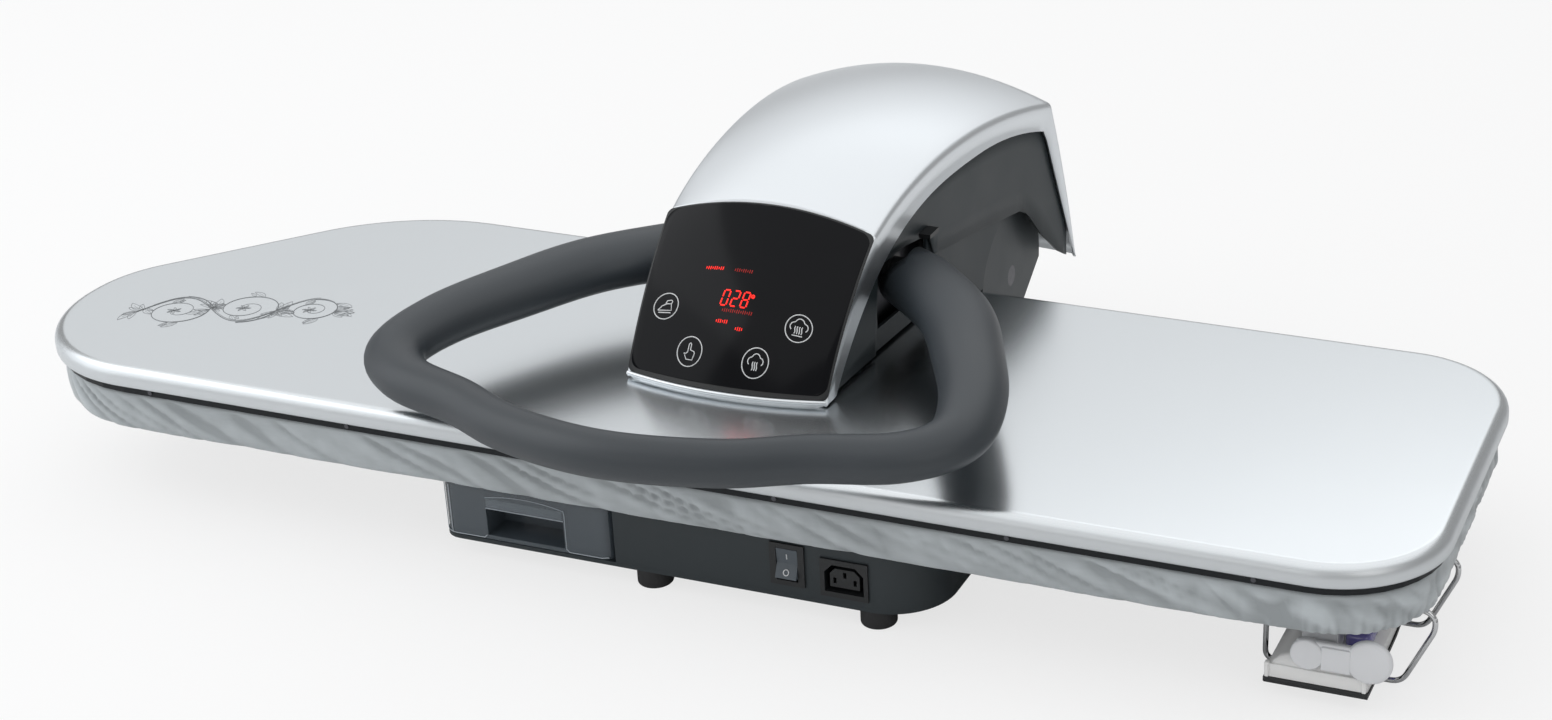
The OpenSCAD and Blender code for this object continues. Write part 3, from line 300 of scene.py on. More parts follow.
def satin_cloth(name, colour, folded):
    """Woven cloth. Folded cloth has a flat map of its own, and painted shade darkens its colour where its folds lie
    deep.
    """
    own_map = folded
    finish = Finish(name, colour, 0.5, Sheen_Weight=0.25, Sheen_Roughness=0.35, Specular_IOR_Level=0.4)
    along, across = (
        finish.node("ShaderNodeSeparateXYZ", None, {0: finish.place(own_map=own_map)}, axis) for axis in (0, 1)
    )
    thread = 2 * math.pi / THREAD_APART
    weave = (along * thread).sine() * (across * thread).sine()
    slub = finish.noise(420.0, 2.0, (0.25, 1.0, 1.0), own_map)
    cloud = finish.noise(11.0, 3.0, own_map=own_map)
    tone_and_fold_shade = cloud * 0.45 + slub * 0.2
    if folded:
        # Painted shade: the fold depth stored on the cloth darkens its colour in the deep folds.
        depth = finish.node("ShaderNodeAttribute", {"attribute_name": "fold_depth"}, out="Fac")
        tone_and_fold_shade = tone_and_fold_shade + depth * 0.42 + 0.1
    finish.vary_colour(tone_and_fold_shade, shade(colour, 0.62 if folded else 0.86))
    finish.put("Roughness", cloud * 0.12 + slub * 0.1 + 0.42)
    finish.bump(weave * 0.35 + slub, 0.00012, 0.45)
    return finish.material


def glossy_panel(name):
    finish = Finish(name, (0.004, 0.004, 0.005), 0.12, Specular_IOR_Level=0.12)
    smear = finish.noise(18.0, 3.0)
    finish.put("Roughness", smear * 0.08 + 0.08)
    finish.vary_colour(smear * 0.5, (0.008, 0.009, 0.011))
    return finish.material


def glowing(name, colour, strength):
    finish = Finish(name, shade(colour, 0.5), 0.4, Emission_Strength=strength)
    patch = finish.noise(900.0, 1.0)
    finish.put("Emission Color", finish.between(patch, colour, shade(colour, 0.8)))
    return finish.material


def print_ink(name, colour, roughness, metallic=0.0):
    finish = Finish(name, colour, roughness, metallic)
    speck = finish.noise(600.0, 2.0)
    finish.vary_colour(speck * 0.5, shade(colour, 0.85))
    finish.put("Roughness", speck * 0.1 + (roughness - 0.05))
    return finish.material


def circuit_board(name, colour):
    finish = Finish(name, colour, 0.35)
    tracks = finish.cells(220.0)
    finish.vary_colour((tracks * 3.0).held(), shade(colour, 0.6))
    finish.bump(tracks, 0.0001, 0.3)
    return finish.material


FINISHES = {}


def make_finishes():
    tint = colours()
    FINISHES.update(
        silver_paint=satin_silver("plate_silver", tint.silver[:], 0.23, SHOE_TOP * MM - 0.0004),
        silver_plastic=satin_silver("arm_silver", tint.arm_silver[:], 0.36),
        dark_plastic=grained_plastic("dark_housing", tint.dark[:], 0.48),
        black_plastic=grained_plastic("black_fittings", (0.012, 0.013, 0.014), 0.42),
        white_plastic=smooth_plastic("white_shell", (0.86, 0.86, 0.85), 0.32),
        grey_plastic=smooth_plastic("grey_shell", (0.74, 0.75, 0.77), 0.38),
        rubber=rubber_finish("foot_rubber", (0.018, 0.018, 0.019)),
        silicone=rubber_finish("hose_silicone", (0.7, 0.7, 0.68)),
        steel=bare_metal("plain_steel", (0.52, 0.53, 0.54), 0.36),
        chrome=bare_metal("rack_chrome", (0.62, 0.63, 0.64), 0.16),
        spring_steel=bare_metal("spring_steel", (0.10, 0.10, 0.11), 0.4),
        brass=bare_metal("turned_brass", (0.72, 0.52, 0.25), 0.3),
        heater=bare_metal("heater_coating", (0.03, 0.032, 0.034), 0.42),
        sole=bare_metal("sole_coating", (0.03, 0.03, 0.032), 0.3),
        felt=satin_cloth("pad_felt", (0.72, 0.71, 0.67), False),
        cloth=satin_cloth("cover_cloth", tint.cloth[:], True),
        foam=soft_foam("handle_foam", tint.foam[:]),
        smoky_clear=clear_plastic("tank_smoke", tint.smoke[:], 0.8),
        purple_clear=clear_plastic("iron_tint", tint.tint[:], 0.75),
        panel_glass=glossy_panel("panel_black"),
        display=glossy_panel("display_black"),
        rocker_grey=grained_plastic("rocker_grey", (0.075, 0.09, 0.105), 0.4),
        # Pale colour for the painted highlights along the tank's edges.
        clear_rim=print_ink("clear_rim", (0.46, 0.50, 0.54), 0.2),
        clear_lip=clear_plastic("clear_lip", (0.20, 0.235, 0.265), 0.45),
        board_green=circuit_board("board_green", (0.02, 0.12, 0.04)),
        print_grey=print_ink("plate_print", (0.20, 0.21, 0.22), 0.45, 0.3),
        print_white=print_ink("panel_print", (0.78, 0.79, 0.80), 0.5),
        glow=glowing("display_glow", tint.glow[:], 1.6),
        dim_glow=glowing("dim_glow", shade(tint.glow[:], 0.35), 0.8),
    )


# Making pieces.


def finish_piece(name, mesh, body, finish, replaces=()):
    """Puts a bmesh into the scene as one piece that rides on a body. Its slot is its finish."""
    data = bpy.data.meshes.new(name)
    mesh.to_mesh(data)
    mesh.free()
    piece = bpy.data.objects.new(name, data)
    bpy.context.scene.collection.objects.link(piece)
    data.materials.append(FINISHES[finish])
    for face in data.polygons:
        face.use_smooth = True
    return settle(piece, body, replaces)


def settle(piece, body, replaces=()):
    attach(piece, body)
    if replaces:
        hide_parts(*replaces)
    return piece


def add_modifier(piece, kind, **settings):
    modifier = piece.modifiers.new(kind.title(), kind)
    for setting, value in settings.items():
        setattr(modifier, setting, value)
    return modifier


def loft(mesh, rings, first_cap=False, last_cap=False, closed=True):
    """Extrudes one ring of vertices through the given rings, in millimetres. Returns the rings of vertices."""
    count = len(rings[0])
    verts = list(bmesh.ops.create_circle(mesh, segments=count, radius=1.0)["verts"])
    mesh.edges.ensure_lookup_table()
    edges = [mesh.edges.get((verts[i], verts[(i + 1) % count])) for i in range(count)]
    if not closed:
        bmesh.ops.delete(mesh, geom=[edges.pop()], context="EDGES")
    set_ring(verts, rings[0])
    if first_cap:
        bmesh.ops.contextual_create(mesh, geom=list(edges))
    made = [verts]
    for ring in rings[1:]:
        out = bmesh.ops.extrude_edge_only(mesh, edges=edges)["geom"]
        fresh = {g for g in out if isinstance(g, bmesh.types.BMVert)}
        following = []
        for vert in verts:
            link = next(e for e in vert.link_edges if e.other_vert(vert) in fresh)
            following.append(link.other_vert(vert))
        verts = following
        set_ring(verts, ring)
        span = count if closed else count - 1
        edges = [mesh.edges.get((verts[i], verts[(i + 1) % count])) for i in range(span)]
        made.append(verts)
    if last_cap:
        bmesh.ops.contextual_create(mesh, geom=list(edges))
    return made


def set_ring(verts, ring):
    for vert, place in zip(verts, ring):
        vert.co = Vector(place) * MM


def outward(mesh):
    bmesh.ops.recalc_face_normals(mesh, faces=mesh.faces[:])


def turn_outward(mesh, way):
    """Turns the faces of an open surface so that its furthest face looks the given way."""
    outward(mesh)
    furthest = max(mesh.faces, key=lambda face: face.calc_center_median().dot(way))
    if furthest.normal.dot(way) < 0:
        bmesh.ops.reverse_faces(mesh, faces=mesh.faces[:])


def round_edges(mesh, edges, bevel, segments):
    return bmesh.ops.bevel(
        mesh,
        geom=edges,
        offset=bevel * MM,
        offset_type="OFFSET",
        segments=segments,
        profile=0.5,
        affect="EDGES",
        material=-1,
    )["verts"]


def block(mesh, low, high, bevel, segments=2):
    """A box between two corners in millimetres, with rounded edges."""
    low, high = Vector(low) * MM, Vector(high) * MM
    made = bmesh.ops.create_cube(mesh, size=1.0)["verts"]
    bmesh.ops.scale(mesh, vec=high - low, verts=made)
    bmesh.ops.translate(mesh, vec=(low + high) / 2, verts=made)
    round_edges(mesh, list({e for v in made for e in v.link_edges}), bevel, segments)


def drum(mesh, centre, axis, radius, depth, bevel):
    """A round disc in millimetres along an axis, with rounded rims."""
    made = bmesh.ops.create_cone(
        mesh, cap_ends=True, segments=48, radius1=radius * MM, radius2=radius * MM, depth=depth * MM
    )["verts"]
    turn = Vector((0, 0, 1)).rotation_difference(Vector(axis)).to_matrix().to_4x4()
    rims = [e for e in {e for v in made for e in v.link_edges} if abs(e.verts[0].co.z - e.verts[1].co.z) < 1e-7]
    fresh = round_edges(mesh, rims, bevel, 3)
    made = list({v for v in made if v.is_valid} | set(fresh))
    bmesh.ops.transform(mesh, matrix=Matrix.Translation(Vector(centre) * MM) @ turn, verts=made)


def new_strokes(name, thickness, finish, resolution):
    """A new piece made of round strokes, with its thickness as a radius in millimetres."""
    data = bpy.data.curves.new(name, "CURVE")
    data.dimensions = "3D"
    data.bevel_depth = thickness * MM
    data.bevel_resolution = resolution
    data.use_fill_caps = True
    data.materials.append(FINISHES[finish])
    piece = bpy.data.objects.new(name, data)
    bpy.context.scene.collection.objects.link(piece)
    return piece


def stroke(piece, points, closed=False, widths=None):
    line = piece.data.splines.new("POLY")
    line.points.add(len(points) - 1)
    for i, (point, place) in enumerate(zip(line.points, points)):
        point.co = (*(Vector(place) * MM), 1.0)
        point.radius = widths[i] if widths else 1.0
    line.use_cyclic_u = closed


# The board's outline, seen from above, turning left, in millimetres.

SHOULDER_RUN = 137
NOSE_LEVEL = -17


def outline_corners():
    size = sizes()
    left, right = PLATE_LOW.x, PLATE_HIGH.x
    front, back = PLATE_LOW.y, PLATE_HIGH.y
    places = [(right, front), (right, back), (left + SHOULDER_RUN, back), (left, NOSE_LEVEL), (left, front)]
    radii = [size.corner, size.corner, size.shoulder, size.nose, size.front_left]
    return [Vector(p) for p in places], [r / MM for r in radii]


def outline(inset, arc_step=4.0, edge_step=None):
    """Points of the board's outline, inset from the plate's edge."""
    places, radii = outline_corners()
    count = len(places)
    arcs = []
    for i, (corner, radius) in enumerate(zip(places, radii)):
        before = (places[i - 1] - corner).normalized()
        after = (places[(i + 1) % count] - corner).normalized()
        start = math.atan2(before.x, -before.y)
        end = math.atan2(-after.x, after.y)
        turn = (end - start) % (2 * math.pi)
        middle = corner + (before + after).normalized() * radius / math.cos(turn / 2)
        steps = max(3, round(math.degrees(turn) / arc_step))
        angles = [start + turn * k / steps for k in range(steps + 1)]
        arcs.append([middle + (radius - inset) * Vector((math.cos(a), math.sin(a))) for a in angles])
    points = []
    for i, arc in enumerate(arcs):
        points += arc
        if edge_step:
            a, b = arc[-1], arcs[(i + 1) % count][0]
            steps = max(1, round((b - a).length / edge_step))
            points += [a.lerp(b, k / steps) for k in range(1, steps)]
    return points


def lifted(points, z):
    return [(p.x, p.y, z) for p in points]


# The arm's lines, seen from the side, in millimetres: across is Y and up is Z.

FOOT = Vector((-59, SHOE_TOP + 4))
BULGE = Vector((-28, SHOE_TOP + 55))
HEAD = Vector((20, SHOE_TOP + 91))
TOP_FRONT = Vector((62, SHOE_TOP + 111))
TOP_BACK = Vector((163, SHOE_TOP + 131))
REAR_TOP = Vector((302, SHOE_TOP + 96))
REAR_BULGE = Vector((327, SHOE_TOP + 30))
REAR_FOOT = Vector((343, SHOE_TOP - 42))
CROWN = 17.5
CROWN_POINTS = 20
PANEL_END = 1.012
SHELL_WALL = 0.0024
FLANK_WALL = 0.0022


def bezier(points, t):
    while len(points) > 1:
        points = [a.lerp(b, t) for a, b in zip(points, points[1:])]
    return points[0]


def crease(s):
    if s <= 1:
        return bezier([FOOT, BULGE, HEAD], s)
    if s <= 2:
        return bezier([HEAD, TOP_FRONT, TOP_BACK, REAR_TOP], s - 1)
    return bezier([REAR_TOP, REAR_BULGE, REAR_FOOT], s - 2)


def crease_inside(s, depth):
    along = (crease(min(s + 0.02, 3)) - crease(max(s - 0.02, 0))).normalized()
    return crease(s) + depth * Vector((along.y, -along.x))


def half_width(y):
    u = (y - FOOT.x) / (REAR_FOOT.x - FOOT.x)
    return 73 + 33 * (0.42 * u + 0.58 * u * abs(u))


def blend_between(a, b, t):
    return a + (b - a) * t


def ramp(start, end, value):
    """Rises smoothly from 0 at the start to 1 at the end."""
    t = min(1.0, max(0.0, (value - start) / (end - start)))
    return t * t * (3.0 - 2.0 * t)


def crown(s):
    if s < 1:
        return CROWN * blend_between(0.42, 0.75, s)
    if s < 2:
        return CROWN * blend_between(0.75, 1.1, s - 1)
    return CROWN * blend_between(1.1, 0.2, s - 2)


def bow_at(u, s):
    """How far the arm's middle stands out from its edges: forward at the panel's foot, and upward from there on."""
    share = 1 - u * u
    forward = share * (1 - s) ** 2.5 if s < 1 else 0.0
    return Vector((-10.0 * forward, crown(s) * share - 0.42 * CROWN * forward))


def flange(y):
    """Lower edge of the silver side flange."""
    if y < -45:
        rise = 2.0
    elif y < 180:
        rise = max(2.0, 94.5 - 20.5 * ((180 - y) / 134) ** 2.91)
    elif y < 292:
        rise = 94.5 - 18 * ((y - 180) / 110) ** 2
    else:
        rise = blend_between(75.9, -46, (y - 292) / (REAR_FOOT.x - 292))
    return SHOE_TOP + rise


def side_foot(y):
    """Lower edge of the dark side panel, with its cut-out over the handle's root."""
    stops = [
        (-60, 3), (22, 3), (30, 70), (108, 60), (116, 42), (255, 24), (268, 17), (290, -7), (320, -33), (345, -48),
    ]
    for (y0, z0), (y1, z1) in zip(stops, stops[1:]):
        if y <= y1:
            return SHOE_TOP + blend_between(z0, z1, (y - y0) / (y1 - y0))
    return SHOE_TOP + stops[-1][1]


def arm_ring(s):
    """Points across the arm's shell, from the right flange over the crown to the left one."""
    under_panel = s <= PANEL_END
    edge = 0.6 if under_panel else sizes().arm_edge / MM
    c = crease(s) - Vector((0.0, 1.3 if under_panel else 0.0))
    w = half_width(c.x)
    foot = min(flange(c.x), c.y - 1.5)
    r = min(edge, (c.y - foot) * 0.8)
    slope = math.atan2(2 * crown(s), w)
    sink = 3.4 if under_panel else 0.0
    side = []
    for k in range(5):
        a = k / 4 * (math.pi / 2 - slope)
        side.append((w - r * (1 - math.cos(a)), c.y - r * (1 - math.sin(a))))
    inner = side[-1]
    top = []
    for k in range(1, CROWN_POINTS):
        u = 1 - 2 * k / CROWN_POINTS
        bow = bow_at(u, s)
        z = inner[1] + bow.y - sink * min(1.0, (1 - abs(u)) * 30)
        top.append((inner[0] * u, c.x + bow.x, z))
    right = [(w, c.x, foot)] + [(x, c.x, z) for x, z in side]
    return right + top + [(-x, y, z) for x, y, z in reversed(right)]


# Operators, one for each piece or group of like pieces.


class PRESS_OT_finishes(bpy.types.Operator):
    """Gives every node of the frame the finish of its material slot"""

    bl_idname = "press.finishes"
    bl_label = "Finishes"

    def execute(self, context):
        make_finishes()
        chosen = {"iron_rack": "chrome", "board_pan": "steel", "rocker": "rocker_grey"}
        chosen.update(dict.fromkeys(("arm_frame", "hinge_shaft", "shoe_screws", "hinge_bushes"), "spring_steel"))
        for entry in frame["record"]["subparts"]:
            node = frame["nodes"][entry["node"]]
            material = FINISHES[chosen.get(entry["node"], entry["material_slot"])]
            node.data.materials.clear()
            node.data.materials.append(material)
        return {"FINISHED"}


class PRESS_OT_stage(bpy.types.Operator):
    """Makes the floor, the lights, the surroundings and the camera"""

    bl_idname = "press.stage"
    bl_label = "Stage"

    def execute(self, context):
        mesh = bmesh.new()
        bmesh.ops.create_grid(mesh, x_segments=8, y_segments=8, size=6.0)
        data = bpy.data.meshes.new("floor")
        mesh.to_mesh(data)
        mesh.free()
        floor = bpy.data.objects.new("floor", data)
        context.scene.collection.objects.link(floor)
        finish = Finish("floor_white", (0.86, 0.86, 0.86), 0.8)
        finish.put("Roughness", finish.noise(3.0) * 0.1 + 0.75)
        path = finish.node("ShaderNodeLightPath", out="Is Camera Ray")
        shine = finish.node("ShaderNodeEmission", None, {"Color": (1, 1, 1, 1), "Strength": 1.0})
        output = next(n for n in finish.tree.nodes if n.type == "OUTPUT_MATERIAL")
        lit = Signal(finish, finish.shader.outputs[0])
        mixed = finish.node("ShaderNodeMixShader", None, {0: path * 0.74, 1: lit, 2: shine})
        finish.tree.links.new(mixed.socket, output.inputs[0])
        data.materials.append(finish.material)
        self.surround(context.scene)
        for name, place, aim, size, power, tone in (
            ("soft_top", (-0.25, 0.35, 2.3), (0.0, 0.1, 0.0), (5.2, 4.4), 53.0, (0.98, 0.99, 1)),
            ("soft_back", (-1.5, 3.2, 1.8), (-0.2, 0.0, 0.1), (4.4, 1.8), 12.0, (0.96, 0.98, 1)),
            ("soft_left", (-2.1, -0.9, 1.3), (0.0, 0.0, 0.1), (2.4, 2.4), 23.0, (0.95, 0.975, 1)),
            ("soft_right", (2.0, -1.4, 1.5), (0.1, 0.0, 0.1), (1.2, 1.6), 7.0, (1, 0.99, 0.98)),
            ("soft_front", (-0.5, -2.6, 1.1), (0.0, 0.0, 0.1), (2.2, 0.9), 6.0, (1, 1, 1)),
        ):
            self.lamp(context.scene, name, place, aim, size, power, tone)
        self.camera(context.scene)
        context.scene.view_settings.view_transform = "Standard"
        return {"FINISHED"}

    def surround(self, scene):
        world = bpy.data.worlds.new("studio")
        world.use_nodes = True
        tree = world.node_tree
        tree.nodes.clear()
        output = tree.nodes.new("ShaderNodeOutputWorld")
        plain = tree.nodes.new("ShaderNodeBackground")
        plain.inputs["Strength"].default_value = 0.36
        seen = tree.nodes.new("ShaderNodeBackground")
        seen.inputs["Strength"].default_value = 1.0
        for background in (plain, seen):
            background.inputs["Color"].default_value = (1, 1, 1, 1)
        path = tree.nodes.new("ShaderNodeLightPath")
        mixed = tree.nodes.new("ShaderNodeMixShader")
        tree.links.new(path.outputs["Is Camera Ray"], mixed.inputs[0])
        tree.links.new(plain.outputs[0], mixed.inputs[1])
        tree.links.new(seen.outputs[0], mixed.inputs[2])
        tree.links.new(mixed.outputs[0], output.inputs[0])
        scene.world = world

    def lamp(self, scene, name, place, aim, size, power, tone):
        data = bpy.data.lights.new(name, "AREA")
        data.shape = "RECTANGLE"
        data.size, data.size_y = size
        data.energy = power
        data.color = tone
        lamp = bpy.data.objects.new(name, data)
        lamp.location = place
        lamp.rotation_euler = (Vector(aim) - Vector(place)).to_track_quat("-Z", "Y").to_euler()
        scene.collection.objects.link(lamp)

    def camera(self, scene):
        data = bpy.data.cameras.new("camera")
        data.sensor_width = 36.0
        data.lens = 59.26
        data.shift_x = -0.1945
        camera = bpy.data.objects.new("camera", data)
        camera.location = (0.7206, -1.4259, 0.8439)
        camera.rotation_euler = (math.radians(65.075), 0.0, math.radians(19.108))
        scene.collection.objects.link(camera)
        scene.camera = camera


# The cloth's section in millimetres: its inset from the plate's edge with the fall from the top, then the hem turned
# under with its rise.

CLOTH_FALL = (
    (30.0, 0.05), (16.0, 0.05), (11.0, 0.1), (8.6, 0.6), (6.9, 1.7), (5.8, 3.2), (5.3, 5.4), (5.0, 8.0), (4.8, 11.0),
    (4.7, 14.0), (4.8, 17.0), (5.0, 20.0), (5.4, 23.0),
)
CLOTH_TURN = ((6.0, 3.6), (7.2, 1.7), (9.0, 0.6), (11.5, 0.3), (14.5, 0.8), (17.0, 1.6))
FOLDS_APART = 31.0
PLEATS_APART = 7.4


class PRESS_OT_cloth(bpy.types.Operator):
    """Makes the board's gathered cloth cover and the pad under it"""

    bl_idname = "press.cloth"
    bl_label = "Cloth cover"

    def execute(self, context):
        top = CLOTH_HIGH.z
        hem = CLOTH_LOW.z
        profile = [(inset, top - drop) for inset, drop in CLOTH_FALL]
        profile += [(inset, hem + rise) for inset, rise in CLOTH_TURN]
        base = outline(0.0, 1.2, 3.0)
        inward = [b - a for a, b in zip(base, outline(1.0, 1.2, 3.0))]
        run = [0.0]
        for a, b in zip(base, base[1:]):
            run.append(run[-1] + (b - a).length)
        total = run[-1] + (base[0] - base[-1]).length
        mesh = bmesh.new()
        rings, depths = [], []
        for inset, z in profile:
            level = min(1.0, max(0.0, (top - 2.0 - z) / (top - 2.0 - hem)))
            ring = []
            for t, place, side in zip(run, base, inward):
                depth, drop = self.fold(t, total, level, place)
                spot = place + side * (inset + depth)
                ring.append((spot.x, spot.y, z + drop))
                depths.append(depth)
            rings.append(ring)
        # The fold depths are kept on the vertices so that the cloth's finish can paint shade into the deep folds.
        shadow = mesh.verts.layers.float.new("fold_depth")
        made = loft(mesh, rings, first_cap=True)
        for vert, depth in zip((vert for ring in made for vert in ring), depths):
            vert[shadow] = depth
        self.lay_out(mesh, made, run, total, profile)
        outward(mesh)
        cover = finish_piece("board_skirt", mesh, "base", "cloth", ("board_cover",))
        add_modifier(cover, "SOLIDIFY", thickness=0.0006, offset=-1.0)
        self.pad()
        return {"FINISHED"}

    def fold(self, t, total, level, place):
        """Depth of the folds at a point, and how far the hem drops there."""
        size = sizes()
        around = total / (2 * math.pi)

        def spot(distance, stretch, drift):
            turn = distance / around
            return Vector((math.cos(turn) * around, math.sin(turn) * around, 0.0)) * stretch + Vector(drift)

        rightward = ramp(-130.0, 60.0, place.x)
        slant = t - (50.0 + 35.0 * rightward) * level
        front = ramp(-108.0, -126.0, place.y)
        swept = front * ramp(-500.0, -440.0, place.x) * ramp(400.0, 330.0, place.x) * (1.0 - 0.35 * rightward)
        wander = noise.noise(spot(slant, 0.016, (3.0, 1.0, level * 0.5)))
        wave = 0.5 + 0.5 * math.sin(slant * 2 * math.pi / FOLDS_APART + 9.0 * wander)
        vary = 0.7 + 1.1 * noise.noise(spot(slant, 0.03, (9.0, 2.0, 0.0)))
        folds = swept * max(0.15, vary) * wave**3.4 * (1.0 - 0.45 * level)
        loose = noise.noise(spot(slant, 0.036, (0.0, 0.0, level * 0.9)))
        crease_line = max(0.0, 1.0 - 5.0 * abs(noise.noise(spot(t - 22.0 * level, 0.045, (7.1, 3.3, level * 0.8)))))
        loose = (0.55 * loose + 0.35 * crease_line) * (1.0 - 0.8 * swept)
        small = noise.noise(spot(t - 12.0 * level, 0.085, (0.0, 4.0, level * 1.9)))
        tiny = noise.noise(spot(t, 0.19, (2.0, 5.0, level * 3.0)))
        corner = ramp(330.0, 420.0, place.x) * ramp(60.0, 20.0, place.y)
        pleat = 0.5 + 0.5 * math.sin(t * 2 * math.pi / PLEATS_APART + 2.6 * small)
        ease = min(1.0, level * 4.0) ** 0.8 * (1.0 - 0.25 * level)
        depth = size.fold / MM * ease * (folds + loose)
        depth += size.pucker / MM * ease * (0.75 * small + 0.3 * tiny) * (1.0 - 0.5 * swept)
        depth *= 1.0 - 0.5 * level**3
        depth += size.gather / MM * pleat**1.5 * ramp(0.25, 1.0, level) * corner
        drop = -0.8 * level**2 * noise.noise(spot(t, 0.02, (1.0, 1.0, 4.0)))
        return depth, drop

    def lay_out(self, mesh, made, run, total, profile):
        """Gives the cloth a flat map in metres, for its weave."""
        layer = mesh.loops.layers.uv.new("flat_cloth")
        falls = [0.0]
        for (a, b), (c, d) in zip(profile, profile[1:]):
            falls.append(falls[-1] + math.hypot(c - a, d - b))
        where = {}
        for j, ring in enumerate(made):
            for i, vert in enumerate(ring):
                where[vert] = (run[i] * MM, falls[j] * MM)
        for face in mesh.faces:
            wide = [where[v][0] for v in face.verts]
            wraps = max(wide) - min(wide) > total * MM / 2
            for loop in face.loops:
                u, v = where[loop.vert]
                if len(face.verts) > 4:
                    u, v = loop.vert.co.x, loop.vert.co.y
                elif wraps and u < total * MM / 2:
                    u += total * MM
                loop[layer].uv = (u, v)

    def pad(self):
        low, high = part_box("board_pad")
        z0, z1 = low.z / MM, high.z / MM
        mesh = bmesh.new()
        section = ((11.5, z0 + 0.1), (10.0, z0 + 0.4), (9.3, z0 + 2.5), (9.4, z1 - 4.0), (10.2, z1 - 1.8))
        section += ((12.0, z1 - 0.8), (18.0, z1 - 0.5))
        loft(mesh, [lifted(outline(inset), z) for inset, z in section], True, True)
        outward(mesh)
        pad = finish_piece("board_felt", mesh, "base", "felt", ("board_pad",))


SCROLL_PLACE = (-386, -48)
SCROLL_LEAN = 18


class PRESS_OT_plate(bpy.types.Operator):
    """Makes the silver shoe cover with its rounded edge and printed scrolls"""

    bl_idname = "press.plate"
    bl_label = "Shoe cover"

    def execute(self, context):
        r = sizes().plate_edge / MM
        low = PLATE_LOW.z
        step = 2.0
        section = [(3.2, low + 0.05), (1.0, low + 0.05), (0.3, low + 0.35), (0.0, low + 1.3)]
        for k in range(9):
            a = k / 8 * math.pi / 2
            section.append((r * (1 - math.cos(a)), SHOE_TOP - r + r * math.sin(a)))
        section += [(r + 1.5, SHOE_TOP), (r + 30.0, SHOE_TOP)]
        mesh = bmesh.new()
        loft(mesh, [lifted(outline(inset, step), z) for inset, z in section], True, True)
        outward(mesh)
        finish_piece("plate_shell", mesh, "head", "silver_paint", ("shoe_cover",))
        self.scrolls()
        return {"FINISHED"}

    def scrolls(self):
        """A running scroll with curls, leaves and a fan, printed on the left end of the plate."""
        piece = new_strokes("plate_scrolls", 0.27, "print_grey", 1)
        wave = [(a, 20.0 * math.cos(2 * math.pi * (a + 46) / 96)) for a in range(-74, 63, 2)]
        self.print_line(piece, wave, [1.9 - 0.9 * k / len(wave) for k in range(len(wave))])
        self.print_line(piece, [(a, b + 1.7) for a, b in wave[4:-6]], [0.8] * (len(wave) - 10))
        for centre, way, wide, start in (((-46, -3), -1, 23.0, 90), ((2, 3), 1, 23.0, -90), ((50, 0), -1, 17.0, 100)):
            points, angles = self.volute(centre, way, wide, start)
            self.print_line(piece, points, [1.7 - 1.0 * k / len(points) for k in range(len(points))])
            for k, at in enumerate((6, 16, 25, 33)):
                self.leaf(piece, points[at], angles[at] - way * 48, 15.0 - 1.6 * k, way)
                self.leaf(piece, points[at + 2], angles[at + 2] - way * 78, 9.0 - k, way)
            for k in range(6):
                self.leaf(piece, points[-1], angles[-1] + 60 * k, 5.5, 1)
        for at, heading, bend in (
            (wave[0], 215, 1), ((-70, -2), 160, -1), ((-22, 2), 62, 1), ((-22, 2), 100, 1),
            ((-24, 0), 232, -1), ((26, -2), 300, 1), ((24, -2), 262, -1), ((24, 0), 40, 1),
        ):
            for turn, length in ((0, 17.0), (26, 13.0), (-24, 11.0)):
                self.leaf(piece, at, heading + turn, length, bend)
        for k in range(-3, 4):
            self.leaf(piece, (66, -3), 22 * k - 4, 17.0 - 1.5 * abs(k), 1 if k < 0 else -1)
        settle(piece, "head")

    def print_line(self, piece, points, widths):
        lean = math.radians(SCROLL_LEAN)
        placed = []
        for a, b in points:
            x = SCROLL_PLACE[0] + a * math.cos(lean) - b * math.sin(lean)
            y = SCROLL_PLACE[1] + a * math.sin(lean) + b * math.cos(lean)
            placed.append((x, y, SHOE_TOP - 0.05))
        stroke(piece, placed, widths=widths)

    def volute(self, centre, way, wide, start):
        """A curl that winds inwards about a centre, with its headings."""
        points, angles = [], []
        for k in range(65):
            t = k / 64
            reach = wide * (1 - t) ** 0.85 + 2.2
            turn = start + way * 640 * t
            points.append(
                (centre[0] + reach * math.cos(math.radians(turn)), centre[1] + reach * math.sin(math.radians(turn)))
            )
            angles.append(turn + way * 90)
        return points, angles

    def leaf(self, piece, at, heading, length, bend):
        """The outline and the rib of one leaf."""
        rib, angle = [], heading
        x, y = at
        for k in range(8):
            rib.append((x, y, angle))
            angle += bend * 6
            x += math.cos(math.radians(angle)) * length / 7
            y += math.sin(math.radians(angle)) * length / 7
        for edge in (1, -1):
            line = []
            for k, (px, py, pa) in enumerate(rib):
                swell = edge * length * 0.16 * math.sin(math.pi * k / 7) ** 0.8
                line.append((px - math.sin(math.radians(pa)) * swell, py + math.cos(math.radians(pa)) * swell))
            self.print_line(piece, line, [0.8] * len(line))
        self.print_line(piece, [(px, py) for px, py, _ in rib[:6]], [0.6] * 6)


